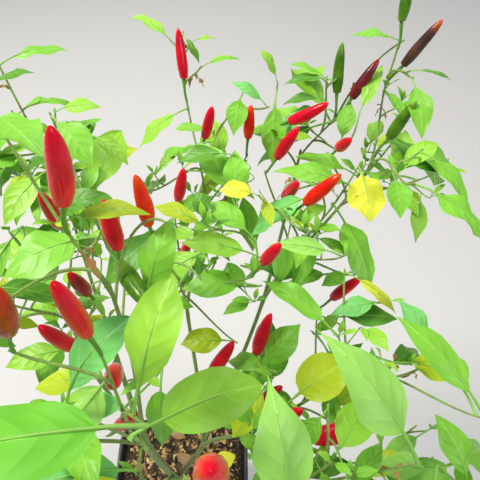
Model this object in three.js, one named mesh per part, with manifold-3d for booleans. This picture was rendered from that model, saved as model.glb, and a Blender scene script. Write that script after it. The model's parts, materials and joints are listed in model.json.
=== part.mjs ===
// Chilli pepper plant in a square plastic pot: pot, soil, forking stems and fruiting masses of leaves.
// Millimetres, +Z up. The origin is the middle of the pot's flat underside.
import * as THREE from 'three';
import { mergeVertices } from 'three/addons/utils/BufferGeometryUtils.js';
import Module from 'manifold-3d';

const wasm = await Module();
wasm.setup();

// Pot and soil
const potSide = 200;
const potHeight = 182;
const potCorner = 30;
const potWall = 2.6;
const potFloor = 4;
const potDraft = 0.83;
const lipHeight = 9;
const lipReach = 3;
const soilDepth = 168;
const gap = 0.3;

// Limbs. A tip is [x, y, height above the soil]; foot and end are radii.
const limbSides = 6;
const limbStations = 5;
const trunkFlare = 1.55;
const flarePower = 5;
const trunkSunk = 4;
const limbCut = gap * 1.1;
const stemCut = gap * 1.4;
const limbs = {
  trunk: { from: null, tip: [5, -4, 96], foot: 6.6, end: 4.8 },
  stem_front: { from: 'trunk', tip: [14, -24, 232], foot: 3.9, end: 3 },
  stem_left: { from: 'trunk', tip: [-18, 12, 206], foot: 3.7, end: 2.9 },
  stem_right: { from: 'trunk', tip: [44, 16, 196], foot: 3.8, end: 3 },
  bough_front: { from: 'stem_front', tip: [20, -42, 400], foot: 2.6, end: 1.9 },
  bough_near: { from: 'stem_front', tip: [-8, -118, 348], foot: 2.4, end: 1.8 },
  bough_near_right: { from: 'stem_front', tip: [86, -74, 350], foot: 2.4, end: 1.8 },
  bough_top: { from: 'stem_left', tip: [0, 28, 440], foot: 2.5, end: 1.9 },
  bough_left: { from: 'stem_left', tip: [-46, 34, 392], foot: 2.2, end: 1.8 },
  bough_left_far: { from: 'stem_left', tip: [-108, -8, 322], foot: 2.4, end: 1.8 },
  bough_back_left: { from: 'stem_left', tip: [-58, 112, 356], foot: 2.3, end: 1.8 },
  bough_back: { from: 'stem_right', tip: [30, 122, 330], foot: 2.5, end: 1.9 },
  bough_far_right: { from: 'stem_right', tip: [112, 116, 366], foot: 2.5, end: 1.9 },
  bough_right: { from: 'stem_right', tip: [106, 4, 304], foot: 2.4, end: 1.8 },
};

// Masses. Each grows from one stem that runs from its bough's tip to its heart, and fills a ball
// round that heart. A placed fruit is [x, y, height of its calyx, bearing, lean off upright,
// length, width], a placed leaf [x, y, height of its blade's base, bearing, rise, length, width].
const masses = {
  foliage_top: {
    bough: 'bough_top', heart: [6, 26, 545], ball: 80, shoots: 3, seed: 11,
    fruits: [[8, 12, 637, 0, 10, 44, 12], [0, 71, 521, 105, 13, 42, 14], [4, 56, 520, -55, 82, 46, 14]],
    leaves: [[2, 18, 600, -151, 3, 38, 28], [-9, 54, 577, 7, 5, 42, 15], [-42, 77, 632, -46, 12, 48, 24],
      [-36, 130, 584, -48, -11, 38, 24], [-13, 130, 571, -32, -22, 28, 15]],
  },
  foliage_left: {
    bough: 'bough_left', heart: [-44, 44, 478], ball: 75, shoots: 3, seed: 12,
    fruits: [[-44, 88, 524, -100, 6, 42, 12], [-26, 8, 490, -160, 16, 42, 12],
      [-31, 60, 476, -125, 10, 36, 12]],
    leaves: [[-51, 100, 562, -123, -14, 38, 22], [-40, 155, 578, 6, 4, 26, 14],
      [-22, -7, 470, -174, -4, 38, 22]],
  },
  foliage_front: {
    bough: 'bough_front', heart: [19, -47, 486], ball: 75, shoots: 1, seed: 13,
    fruits: [[14, -29, 588, 150, 5, 44, 11], [-24, -28, 588, 5, 14, 40, 13],
      [5, -9, 494, -70, 40, 38, 12], [-14, -17, 386, 5, 34, 38, 12]],
    leaves: [[17, -64, 555, -167, 15, 82, 40], [12, -67, 474, -158, 48, 62, 32],
      [35, -39, 542, 67, 46, 66, 33], [-17, -29, 508, 26, 55, 79, 27], [42, -46, 508, 23, -1, 66, 36],
      [25, 0, 424, -95, -56, 58, 25], [-21, -27, 470, 4, 4, 30, 19]],
  },
  foliage_middle: {
    bough: 'bough_back', heart: [34, 96, 440], ball: 80, shoots: 4, seed: 14,
    fruits: [[24, 78, 540, 120, 5, 44, 12], [30, 168, 463, 25, 14, 38, 11],
      [32, 136, 413, -15, 15, 34, 11], [107, 84, 482, -4, 24, 29, 11]],
    leaves: [[22, 44, 507, 63, 45, 56, 28], [90, 101, 475, 171, 7, 54, 23],
      [88, 90, 441, -178, -1, 52, 26], [70, 74, 360, -178, -2, 42, 26], [92, 115, 486, 142, 17, 42, 20],
      [54, 117, 493, 159, 15, 42, 17], [59, 124, 492, 113, 35, 24, 15]],
  },
  foliage_back: {
    bough: 'bough_back', heart: [52, 214, 418], ball: 90, shoots: 3, seed: 15,
    fruits: [[32, 286, 513, 100, 25, 46, 11], [53, 238, 478, 20, 15, 36, 11],
      [96, 238, 478, 60, 8, 36, 11]],
    leaves: [[70, 188, 503, -175, -3, 40, 17], [15, 311, 544, 150, 21, 45, 13],
      [53, 236, 489, 174, 5, 30, 13], [85, 160, 481, 92, 37, 42, 24], [88, 251, 512, -102, -19, 33, 21],
      [107, 249, 516, 160, 30, 32, 13], [35, 315, 538, -58, -23, 27, 9], [44, 316, 536, 20, 2, 22, 8],
      [57, 298, 522, 19, 5, 34, 10]],
  },
  foliage_back_left: {
    bough: 'bough_back_left', heart: [-86, 190, 452], ball: 95, shoots: 4, seed: 55,
    fruits: [],
    leaves: [[-92, 212, 583, 12, 9, 42, 15], [-100, 188, 578, 16, 12, 30, 16]],
  },
  foliage_right_low: {
    bough: 'bough_right', heart: [98, 22, 362], ball: 65, shoots: 2, seed: 17,
    fruits: [[62, 29, 385, 40, 40, 42, 13], [103, 45, 397, 58, 30, 44, 13],
      [105, 8, 370, 20, 40, 32, 11], [111, -23, 413, 5, 35, 40, 13]],
    leaves: [[138, 6, 404, 30, 21, 50, 38], [112, 34, 399, 43, 40, 48, 27],
      [106, 7, 404, -129, -23, 44, 28]],
  },
  foliage_right: {
    bough: 'bough_right', heart: [196, 36, 392], ball: 85, shoots: 3, seed: 18,
    fruits: [[185, 120, 364, 5, 33, 42, 13]],
    leaves: [[260, -7, 444, 132, 21, 76, 26], [156, 55, 440, 139, 6, 63, 23],
      [193, 92, 443, -31, -20, 44, 13], [246, 38, 428, 130, 36, 48, 20],
      [204, 76, 431, -170, -7, 38, 18]],
  },
  foliage_right_front: {
    bough: 'bough_near_right', heart: [128, -68, 440], ball: 75, shoots: 1, seed: 19,
    fruits: [[138, -44, 460, 8, 85, 45, 15], [76, -94, 595, -66, 8, 42, 14]],
    leaves: [[114, -90, 519, 103, 49, 72, 32], [190, -48, 488, 135, 35, 88, 40],
      [151, -55, 482, 52, 10, 38, 24], [138, -41, 493, -136, -42, 24, 15]],
  },
  foliage_far_middle: {
    bough: 'bough_far_right', heart: [148, 146, 436], ball: 70, shoots: 2, seed: 20,
    fruits: [[147, 152, 477, 0, 35, 44, 13], [131, 178, 456, -60, 25, 38, 12],
      [123, 200, 487, 0, 25, 40, 12]],
    leaves: [[184, 145, 458, -64, -24, 62, 30], [195, 166, 498, -88, -3, 46, 34],
      [180, 168, 487, 168, 9, 64, 21], [97, 143, 500, 172, 6, 27, 18], [161, 107, 467, 176, 9, 52, 17],
      [105, 113, 434, -4, -11, 44, 23], [186, 111, 420, -164, -11, 23, 15]],
  },
  foliage_far_right: {
    bough: 'bough_far_right', heart: [214, 200, 480], ball: 85, shoots: 2, seed: 35,
    fruits: [[234, 250, 551, 10, 30, 46, 13], [224, 258, 588, 100, 15, 40, 10],
      [222, 200, 511, 5, 20, 40, 12], [178, 199, 499, -70, 33, 28, 11]],
    leaves: [[223, 92, 555, -36, -16, 52, 25], [243, 230, 559, -10, -7, 32, 10],
      [238, 218, 550, -85, -22, 44, 20], [226, 159, 518, 31, 21, 36, 19],
      [242, 147, 534, -46, -20, 42, 15], [215, 148, 510, -86, -15, 30, 21],
      [186, 192, 480, 165, 11, 47, 22]],
  },
  foliage_back_right: {
    bough: 'bough_far_right', heart: [150, 236, 462], ball: 75, shoots: 1, seed: 45,
    fruits: [[179, 249, 523, 90, 20, 44, 11], [193, 245, 520, 30, 35, 40, 11],
      [135, 227, 507, -15, 50, 42, 12]],
    leaves: [[184, 216, 498, 74, 36, 36, 18], [220, 263, 570, 162, 0, 34, 13],
      [200, 230, 522, 59, 33, 45, 14], [121, 262, 533, 134, 51, 30, 12],
      [160, 255, 540, 160, 15, 30, 11], [163, 251, 537, 175, -7, 36, 10],
      [160, 244, 520, 175, -8, 31, 12]],
  },
  foliage_left_far: {
    bough: 'bough_left_far', heart: [-182, 50, 418], ball: 100, shoots: 6, seed: 23,
    fruits: [], leaves: [],
  },
  foliage_near_left: {
    bough: 'bough_left_far', heart: [-150, -92, 432], ball: 95, shoots: 6, seed: 24,
    fruits: [], leaves: [],
  },
  foliage_near_middle: {
    bough: 'bough_near', heart: [-56, -180, 470], ball: 85, shoots: 6, seed: 25,
    fruits: [], leaves: [],
  },
  foliage_near: {
    bough: 'bough_near', heart: [42, -214, 412], ball: 90, shoots: 6, seed: 26,
    fruits: [], leaves: [],
  },
  foliage_near_right: {
    bough: 'bough_near_right', heart: [160, -166, 412], ball: 95, shoots: 6, seed: 27,
    fruits: [], leaves: [],
  },
  foliage_right_far: {
    bough: 'bough_right', heart: [236, -72, 372], ball: 85, shoots: 6, seed: 28,
    fruits: [],
    leaves: [[248, -61, 429, 117, 34, 47, 20]],
  },
};

// How a limb or twig bends: out along its parent, then up towards its tip.
const leaveChord = 1.3;
const leaveReach = 0.36;
const arriveUp = 0.55;
const arriveReach = 0.34;

// Wood within a mass
const stemFoot = 1.8;
const stemEnd = 1.5;
const stemSides = 5;
const stemShares = [0, 1 / 3, 2 / 3, 1];
const twigFoot = 1.6;
const twigEnd = 1.2;
const twigSides = 3;
const twigMiddle = 0.55;
const rootReach = 4;
const rootMost = 0.3;
const tipPast = 2.5;
const shortestTwig = 8;
const forkSpacing = 13;
const firstStemFork = 0.3;
const firstTwigFork = 0.2;
const forksTried = 4;
const turnCost = 1.7;
const dropCost = 1.5;
const twigBows = [0, 0.22, -0.22, 0.42, -0.42];

// Leaves: lengths and widths are of the blade, the rest are shares of the whole leaf.
const petioleRadius = 1;
const rootShare = 0.05;
const petioleShare = 0.24;
const widestShare = 0.5;
const bladeKeel = 1.3;
const bladeArch = 0.1;
const edgeSpread = Math.sin((Math.PI * 2) / 3);
const leafLengths = [44, 72];
const leafWidths = [0.42, 0.52];
const leafRises = [-52, 30];
const leafStep = 5;
const goldenAngle = 137.5;

// Fruits. A pod's shape is rows of share of its length and radius as a share of its width.
const stalkLength = 24;
const stalkRadius = 1.3;
const stalkRoot = 3;
const stalkNeck = 1;
const stalkSwell = 1.4;
const podShape = [[0.1, 0.43], [0.42, 0.5], [0.78, 0.36]];
const fruitSides = 5;
const fruitLengths = [34, 46];
const fruitWidth = 12.5;
const fruitRises = [58, 88];
const fruitChance = 0.42;

// Shoots that the seed spreads
const shootTries = 80;
const shootSpacing = 34;
const shootRises = [-25, 80];
const shootReaches = [0.5, 0.85];
const shootLeaves = 5;
const placedLeaves = 2;
const bareSpots = 4;
const outwardSpread = 60;

// Room that growth keeps round itself
const limbAir = 2.2;
const limbBalls = 5;
const stemAir = 1.4;
const stemBalls = 6;
const twigAir = 2.6;
const rootBalls = 2;
const leafProbes = [0.3, 0.45, 0.6, 0.75, 0.92];
const leafAir = 4.2;
const leafSpread = 0.4;
const leafTaper = 1.6;
const fruitAir = 6.8;
const fruitBalls = 9;
const nodeAir = 14;
const sameMassAir = 0.4;
const cellMargin = 4;
const ballRim = 12;
const fruitRim = 38;
const shortestEdge = 0.22;

// The plant is seen from here, as x, y and height above the soil. Seeded leaves and shoots keep off
// the lines to the placed fruits and leaves and to the near part of the soil.
const outlook = [88, -132, 800];
const sightAir = 4;
const sightShares = [0.4, 0.62, 0.85];
const sightEnd = 14;
const soilSpots = { from: [-64, 24], to: [76, 78], columns: 6, rows: 3 };

const up = new THREE.Vector3(0, 0, 1);
const toRadians = Math.PI / 180;

// Evenly spread draws that are the same on every run.
function draws(seed) {
  let state = seed * 7919;
  return (low, high) => {
    state = (state * 1664525 + 1013904223) % 4294967296;
    return low + (high - low) * (state / 4294967296);
  };
}

function onPlant([x, y, height]) {
  return new THREE.Vector3(x, y, soilTop + height);
}

function heading(bearing, rise) {
  const flat = Math.cos(rise * toRadians);
  return new THREE.Vector3(
    Math.cos(bearing * toRadians) * flat,
    Math.sin(bearing * toRadians) * flat,
    Math.sin(rise * toRadians),
  );
}

// A closed shape becomes a solid: shared corners merged, empty faces dropped, faces turned outwards.
function solidOf(geometry) {
  geometry.deleteAttribute('normal');
  geometry.deleteAttribute('uv');
  const merged = mergeVertices(geometry, 1e-4);
  const corners = merged.getAttribute('position').array;
  const faces = [];
  for (let i = 0; i < merged.index.count; i += 3) {
    const [a, b, c] = [0, 1, 2].map((step) => merged.index.getX(i + step));
    if (a !== b && b !== c && c !== a) faces.push([a, b, c]);
  }
  const corner = (i) => new THREE.Vector3(...corners.subarray(i * 3, i * 3 + 3));
  const volume = faces.reduce((sum, [a, b, c]) => sum + corner(a).dot(corner(b).cross(corner(c))), 0);
  if (volume < 0) faces.forEach((face) => face.reverse());
  return new wasm.Manifold(
    new wasm.Mesh({ numProp: 3, vertProperties: corners, triVerts: new Uint32Array(faces.flat()) }),
  );
}

// The largest closed shell: loose scraps go, and a sealed hollow is filled.
function largest(solid) {
  return solid.decompose().sort((a, b) => b.volume() - a.volume())[0];
}

// Frames along a curve, each turned as little as possible from the one before.
function framesAlong(curve, shares) {
  let side = new THREE.Vector3(0.31, 0.95, 0.05);
  return shares.map((share) => {
    const along = curve.getTangent(share);
    side = side.clone().addScaledVector(along, -side.dot(along)).normalize();
    return { at: curve.getPoint(share), along, side, rise: new THREE.Vector3().crossVectors(along, side) };
  });
}

// A lathe profile, one ring for each frame, is set on the frames; shape() may move a ring's corners.
function bentLathe(radii, sides, frames, shape = (ring, across, lift) => [across, lift]) {
  const profile = radii.map((radius, ring) => new THREE.Vector2(radius, ring));
  const lathe = new THREE.LatheGeometry(profile, sides);
  const spots = lathe.getAttribute('position');
  const turn = sides * radii.length;
  const straight = spots.clone();
  for (let i = 0; i < spots.count; i += 1) {
    const ring = i % radii.length;
    const from = i % turn;
    const frame = frames[ring];
    const [across, lift] = shape(ring, straight.getX(from), straight.getZ(from));
    const spot = frame.at.clone().addScaledVector(frame.side, across).addScaledVector(frame.rise, lift);
    spots.setXYZ(i, spot.x, spot.y, spot.z);
  }
  return solidOf(lathe);
}

// The place on the straight runs between a line's rings, where the wood really is.
function onRuns(curve, shares, share) {
  const after = Math.max(1, shares.findIndex((ring) => ring >= share));
  const [low, high] = [shares[after - 1], shares[after]];
  return curve.getPoint(low).lerp(curve.getPoint(high), (share - low) / (high - low));
}

// A tapering limb with flat ends; grow swells it all round.
function taper(curve, radii, sides, grow = 0) {
  const frames = framesAlong(curve, radii.map((radius, i) => i / (radii.length - 1)));
  const first = { ...frames[0], at: frames[0].at.clone().addScaledVector(frames[0].along, -grow) };
  const end = frames.at(-1);
  const last = { ...end, at: end.at.clone().addScaledVector(end.along, grow) };
  const rings = [0, ...radii.map((radius) => radius + grow), 0];
  return bentLathe(rings, sides, [first, first, ...frames.slice(1, -1), last, last]);
}

// A limb's line leaves along its parent and turns up towards its tip.
function limbLine(start, startAlong, tip, bow = 0) {
  const reach = tip.clone().sub(start);
  const length = reach.length();
  const chord = reach.clone().normalize();
  const leave = chord.clone().multiplyScalar(leaveChord).add(startAlong).normalize();
  const arrive = chord.clone().addScaledVector(up, arriveUp).normalize();
  const sideways = new THREE.Vector3().crossVectors(chord, up).normalize();
  return new THREE.CubicBezierCurve3(
    start,
    start.clone().addScaledVector(leave, length * leaveReach).addScaledVector(sideways, length * bow),
    tip.clone().addScaledVector(arrive, -length * arriveReach).addScaledVector(sideways, length * bow),
    tip,
  );
}

// Balls stand in for what has grown already, so that new growth can keep clear of it.
const balls = [];

function clear(candidates, owner, placed = false) {
  return candidates.every((ball) => balls.every((other) => {
    const same = other.owner === owner;
    if (same && (placed || ball.near.distanceTo(other.near) < nodeAir)) return true;
    const reach = ball.radius + other.radius * (same ? sameMassAir : 1);
    return ball.at.distanceToSquared(other.at) > reach * reach;
  }));
}

function ballsAlong(curve, radius, owner, spacing, near = null) {
  const count = Math.max(2, Math.ceil(curve.getPoint(0).distanceTo(curve.getPoint(1)) / spacing));
  return Array.from({ length: count + 1 }, (unused, i) => {
    const at = curve.getPoint(i / count);
    return { at, radius, owner, near: near || at };
  });
}

// Soil and pot
const soilTop = potFloor + gap + soilDepth;

function roundedSquare(side, corner) {
  const half = side / 2;
  const inner = half - corner;
  const outline = new THREE.Shape();
  outline.moveTo(half, -inner);
  outline.absarc(inner, inner, corner, 0, Math.PI / 2, false);
  outline.absarc(-inner, inner, corner, Math.PI / 2, Math.PI, false);
  outline.absarc(-inner, -inner, corner, Math.PI, Math.PI * 1.5, false);
  outline.absarc(inner, -inner, corner, Math.PI * 1.5, Math.PI * 2, false);
  return outline;
}

// A block on the pot's own slope: full size at the rim, narrower at the foot.
function slopedBlock(side, corner, low, high, steps) {
  const block = new THREE.ExtrudeGeometry(roundedSquare(side, corner), {
    depth: high - low, steps, bevelEnabled: false, curveSegments: 2,
  });
  block.translate(0, 0, low);
  const spots = block.getAttribute('position');
  for (let i = 0; i < spots.count; i += 1) {
    const narrow = THREE.MathUtils.mapLinear(spots.getZ(i), 0, potHeight, potDraft, 1);
    spots.setXY(i, spots.getX(i) * narrow, spots.getY(i) * narrow);
  }
  return solidOf(block);
}

function potSolid() {
  const side = potSide - 2 * lipReach;
  const body = slopedBlock(side, potCorner, 0, potHeight, 1);
  const lip = slopedBlock(potSide, potCorner + lipReach, potHeight - lipHeight, potHeight, 1);
  const hollow = slopedBlock(side - 2 * potWall, potCorner - potWall, potFloor, potHeight + 1, 1);
  return body.add(lip).subtract(hollow);
}

function soilSolid() {
  const side = potSide - 2 * (lipReach + potWall + gap);
  return slopedBlock(side, potCorner - potWall - gap, potFloor + gap, soilTop, 1);
}

// Limbs: each starts at its parent's tip and is cut clear of what stands there already.
function limbRadii({ from, foot, end }) {
  return Array.from({ length: limbStations + 1 }, (unused, i) => {
    const share = i / limbStations;
    const flare = from ? 1 : 1 + (trunkFlare - 1) * (1 - share) ** flarePower;
    return THREE.MathUtils.lerp(foot, end, share) * flare;
  });
}

function growLimbs() {
  const grown = {};
  for (const [name, limb] of Object.entries(limbs)) {
    const parent = grown[limb.from];
    const start = parent ? parent.line.getPoint(1) : new THREE.Vector3(0, 0, soilTop - trunkSunk);
    const startAlong = parent ? parent.line.getTangent(1) : up;
    const line = limbLine(start, startAlong, onPlant(limb.tip));
    const radii = limbRadii(limb);
    let solid = taper(line, radii, limbSides).trimByPlane([0, 0, 1], soilTop + gap);
    for (const other of Object.values(grown)) {
      if (other === parent || other.from === limb.from) solid = solid.subtract(other.wide);
    }
    const wide = taper(line, radii, limbSides, limbCut);
    grown[name] = { from: limb.from, line, solid: largest(solid), wide };
    balls.push(...ballsAlong(line, limb.foot + limbAir, name, limbBalls));
  }
  return grown;
}

// A leaf: a petiole that widens into a pointed blade with a keel under its midrib, a little arched.
function sideOf(bearing) {
  return new THREE.Vector3(-Math.sin(bearing * toRadians), Math.cos(bearing * toRadians), 0);
}

function leafLine(node, bearing, rise, length) {
  const way = heading(bearing, rise);
  const over = new THREE.Vector3().crossVectors(way, sideOf(bearing));
  const total = length / (1 - petioleShare);
  const middle = node.clone().addScaledVector(way, total / 2).addScaledVector(over, total * bladeArch * 2);
  return new THREE.QuadraticBezierCurve3(node, middle, node.clone().addScaledVector(way, total));
}

function leafSolid({ line, bearing, width }) {
  const side = sideOf(bearing);
  const frames = [0, rootShare, petioleShare, widestShare, 1].map((share) => {
    const along = line.getTangent(share);
    return { at: line.getPoint(share), side, rise: new THREE.Vector3().crossVectors(side, along) };
  });
  const radii = [0, petioleRadius, petioleRadius, width / 2 / edgeSpread, 0];
  return bentLathe(radii, 3, frames, (ring, across, lift) => {
    if (ring < 3) return [across, lift];
    return [across, lift > 0 ? bladeKeel : 0];
  });
}

function leafBalls({ line, bearing, width }, owner) {
  const side = sideOf(bearing);
  const near = line.getPoint(0);
  return leafProbes.flatMap((share) => {
    const half = width * leafSpread * (1 - Math.abs(share - widestShare) * leafTaper);
    return [-1, 0, 1].map((way) => {
      const at = line.getPoint(share).addScaledVector(side, way * half);
      return { at, radius: leafAir, owner, near };
    });
  });
}

// A fruit stands on its stalk, which thickens into the calyx.
function fruitSolid({ root, calyx, tip, width }) {
  const stalk = root.distanceTo(calyx);
  const line = new THREE.LineCurve3(root, tip);
  const total = root.distanceTo(tip);
  const rings = [
    [0, 0], [stalkRoot, stalkRadius], [stalk - stalkNeck, stalkRadius * stalkSwell],
    ...podShape.map(([share, wide]) => [stalk + (total - stalk) * share, width * wide]), [total, 0],
  ];
  const frames = framesAlong(line, rings.map(([far]) => far / total));
  return bentLathe(rings.map(([, radius]) => radius), fruitSides, frames);
}

function podBalls({ root, calyx, tip }, owner) {
  return ballsAlong(new THREE.LineCurve3(calyx, tip), fruitAir, owner, fruitBalls, root);
}

// Twigs: each sets out from one of the free places on the mass's wood that suit its node best.
function bestForks(mass, node) {
  return mass.wood.map((spot) => {
    const reach = node.clone().sub(spot.at);
    const length = Math.max(reach.length(), 1);
    const agree = reach.dot(spot.along) / length;
    const drop = Math.max(0, spot.at.z - node.z);
    return { spot, length, cost: length * (turnCost - agree) + drop * dropCost };
  }).sort((a, b) => a.cost - b.cost).slice(0, forksTried);
}

function addWood(mass, line, shares, length, first) {
  const steps = Math.max(2, Math.round(length / forkSpacing));
  for (let step = 1; step < steps; step += 1) {
    const share = first + (1 - first) * (step / steps);
    mass.wood.push({ at: onRuns(line, shares, share), along: line.getTangent(share) });
  }
}

function twigShares(length) {
  return [0, Math.min(rootReach / length, rootMost), twigMiddle, 1];
}

function growTwig(mass, node, placed) {
  const forks = bestForks(mass, node);
  if (forks[0].length < shortestTwig) return { root: forks[0].spot.at, line: null };
  for (const { spot, length } of forks) {
    for (const bow of twigBows) {
      const past = node.clone().sub(spot.at).normalize().multiplyScalar(tipPast).add(node);
      const line = limbLine(spot.at, spot.along, past, bow);
      const track = ballsAlong(line, twigAir, mass.name, stemBalls);
      const own = track.slice(rootBalls);
      if (!clear(own, mass.name) || (!placed && own.some(inSight))) continue;
      mass.wood = mass.wood.filter((other) => other !== spot);
      addWood(mass, line, twigShares(length), length, firstTwigFork);
      balls.push(...track);
      const twig = { root: node, line, length };
      mass.twigs.push(twig);
      return twig;
    }
  }
  return null;
}

// What shows from the outlook: the soil's near part, and each placed fruit and leaf.
const viewpoint = onPlant(outlook);
const shown = [];

function showSoil() {
  const { from, to, columns, rows } = soilSpots;
  for (let i = 0; i < columns; i += 1) {
    for (let j = 0; j < rows; j += 1) {
      const x = THREE.MathUtils.mapLinear(i, 0, columns - 1, from[0], to[0]);
      const y = THREE.MathUtils.mapLinear(j, 0, rows - 1, from[1], to[1]);
      shown.push(onPlant([x, y, 0]));
    }
  }
}

function showLeaf({ line, bearing, width }) {
  const side = sideOf(bearing);
  for (const share of sightShares) {
    const half = width * leafSpread * (1 - Math.abs(share - widestShare) * leafTaper);
    for (const way of [-1, 0, 1]) shown.push(line.getPoint(share).addScaledVector(side, way * half));
  }
}

function showFruit({ calyx, tip }) {
  for (const share of sightShares) shown.push(calyx.clone().lerp(tip, share));
}

function inSight(ball) {
  const reach = ball.at.clone().sub(viewpoint);
  return shown.some((spot) => {
    const line = spot.clone().sub(viewpoint);
    const share = reach.dot(line) / line.lengthSq();
    if (share <= 0 || share > 1 - sightEnd / line.length()) return false;
    return line.multiplyScalar(share).distanceTo(reach) < sightAir;
  });
}

// A mass keeps to the places that are nearer its own heart than any other, inside its ball.
function inCell(mass, spot, rim = ballRim) {
  if (spot.distanceTo(mass.heart) > mass.ball + rim) return false;
  return grownMasses.every((other) => other === mass
    || spot.distanceTo(other.heart) - spot.distanceTo(mass.heart) > cellMargin);
}

function fits(mass, own, placed, rim) {
  if (!clear(own, mass.name, placed)) return false;
  return placed || own.every((ball) => inCell(mass, ball.at, rim) && !inSight(ball));
}

function addLeaf(mass, root, bearing, rise, length, width, placed = false) {
  const leaf = { line: leafLine(root, bearing, rise, length), bearing, width };
  const own = leafBalls(leaf, mass.name);
  if (!fits(mass, own, placed, ballRim)) return false;
  mass.leaves.push(leaf);
  balls.push(...own);
  if (placed) showLeaf(leaf);
  return true;
}

function addFruit(mass, root, calyx, way, length, width, placed = false) {
  const fruit = { root, calyx, tip: calyx.clone().addScaledVector(way, length), width };
  const own = podBalls(fruit, mass.name);
  if (!fits(mass, own, placed, fruitRim)) return false;
  mass.fruits.push(fruit);
  balls.push(...own);
  if (placed) showFruit(fruit);
  return true;
}

// The place on a twig that lies a little way back from its end.
function backAlong(twig, distance) {
  if (!twig.line) return twig.root;
  const share = Math.max(rootMost, 1 - (tipPast + distance) / twig.length);
  return onRuns(twig.line, twigShares(twig.length), share);
}

// Placed fruits and leaves come first.
function growPlaced(mass) {
  const { fruits, leaves } = masses[mass.name];
  for (const [x, y, height, bearing, lean, length, width] of fruits) {
    const way = heading(bearing, 90 - lean);
    const calyx = onPlant([x, y, height]);
    const twig = growTwig(mass, calyx.clone().addScaledVector(way, -stalkLength), true);
    const set = twig && addFruit(mass, twig.root, calyx, way, length, width, true);
    if (set) mass.ends.push({ twig, placed: true });
  }
  for (const [x, y, height, bearing, rise, length, width] of leaves) {
    const fromRoot = leafLine(new THREE.Vector3(), bearing, rise, length).getPoint(petioleShare);
    const twig = growTwig(mass, onPlant([x, y, height]).sub(fromRoot), true);
    const set = twig && addLeaf(mass, twig.root, bearing, rise, length, width, true);
    if (set) mass.ends.push({ twig, placed: true });
  }
}

// Shoots spread by the seed fill the rest of the cell.
function growShoots(mass) {
  const draw = draws(mass.seed);
  for (let tries = 0, found = 0; tries < shootTries && found < mass.shoots; tries += 1) {
    const way = heading(draw(-180, 180), draw(...shootRises));
    const node = mass.heart.clone().addScaledVector(way, mass.ball * draw(...shootReaches));
    const roomy = mass.ends.every(({ twig }) => twig.root.distanceTo(node) > shootSpacing);
    if (!roomy || !inCell(mass, node)) continue;
    const twig = growTwig(mass, node, false);
    if (!twig || !twig.line) continue;
    mass.ends.push({ twig, placed: false });
    found += 1;
  }
}

// Leaves turn round each shoot's end by the golden angle, and a few sit on the bare wood.
function leafUp(mass) {
  const draw = draws(mass.seed + 100);
  for (const { twig, placed } of mass.ends) {
    const outward = Math.atan2(twig.root.y - mass.heart.y, twig.root.x - mass.heart.x) / toRadians;
    const start = draw(-outwardSpread, outwardSpread) + outward;
    if (!placed && draw(0, 1) < fruitChance) {
      const way = heading(draw(-180, 180), draw(...fruitRises));
      const calyx = twig.root.clone().addScaledVector(way, stalkLength);
      addFruit(mass, twig.root, calyx, way, draw(...fruitLengths), fruitWidth);
    }
    for (let i = 0; i < (placed ? placedLeaves : shootLeaves); i += 1) {
      const length = draw(...leafLengths);
      const width = length * draw(...leafWidths);
      const root = backAlong(twig, 1 + i * leafStep);
      addLeaf(mass, root, start + i * goldenAngle, draw(...leafRises), length, width);
    }
  }
  for (const spot of mass.wood.filter((unused, i) => i % bareSpots === 1)) {
    const length = draw(...leafLengths);
    addLeaf(mass, spot.at, draw(-180, 180), draw(...leafRises), length, length * draw(...leafWidths));
  }
}

const grownLimbs = growLimbs();
const grownMasses = Object.entries(masses).map(([name, { heart, ball, shoots, seed, bough }]) => ({
  name, bough, ball, shoots, seed, heart: onPlant(heart),
  wood: [], twigs: [], leaves: [], fruits: [], ends: [],
}));

for (const mass of grownMasses) {
  const parent = grownLimbs[mass.bough];
  mass.line = limbLine(parent.line.getPoint(1), parent.line.getTangent(1), mass.heart);
  addWood(mass, mass.line, stemShares, mass.line.getLength(), firstStemFork);
  balls.push(...ballsAlong(mass.line, stemFoot + stemAir, mass.name, stemBalls));
}
showSoil();
grownMasses.forEach(growPlaced);
grownMasses.forEach(growShoots);
grownMasses.forEach(leafUp);

const stemRadii = stemShares.map((share) => THREE.MathUtils.lerp(stemFoot, stemEnd, share));

function twigSolid({ line, length }) {
  const frames = framesAlong(line, [...twigShares(length), 1]);
  return bentLathe([0, twigFoot, (twigFoot + twigEnd) / 2, twigEnd, 0], twigSides, frames);
}

function massSolid(mass) {
  const parts = [...mass.twigs.map(twigSolid), ...mass.leaves.map(leafSolid), ...mass.fruits.map(fruitSolid)];
  let solid = parts.reduce((whole, piece) => whole.add(piece), taper(mass.line, stemRadii, stemSides));
  for (const limb of Object.values(grownLimbs)) solid = solid.subtract(limb.wide);
  for (const other of grownMasses) {
    if (other === mass) break;
    if (other.bough === mass.bough) solid = solid.subtract(taper(other.line, stemRadii, stemSides, stemCut));
  }
  return largest(solid.simplify(shortestEdge));
}

// Materials
const finishes = {
  pot: { color: 0x2b2c2e, roughness: 0.55 },
  soil: { color: 0x3a2c22, roughness: 0.95 },
  wood: { color: 0x7a8440, roughness: 0.7 },
  foliage: { color: 0x6fc044, roughness: 0.5 },
};

function meshOf(name, solid, finish) {
  const { vertProperties, triVerts } = solid.getMesh();
  const geometry = new THREE.BufferGeometry();
  geometry.setAttribute('position', new THREE.BufferAttribute(vertProperties, 3));
  geometry.setIndex(new THREE.BufferAttribute(triVerts, 1));
  const mesh = new THREE.Mesh(geometry, new THREE.MeshStandardMaterial({ ...finishes[finish], metalness: 0 }));
  mesh.name = name;
  return mesh;
}

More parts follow.
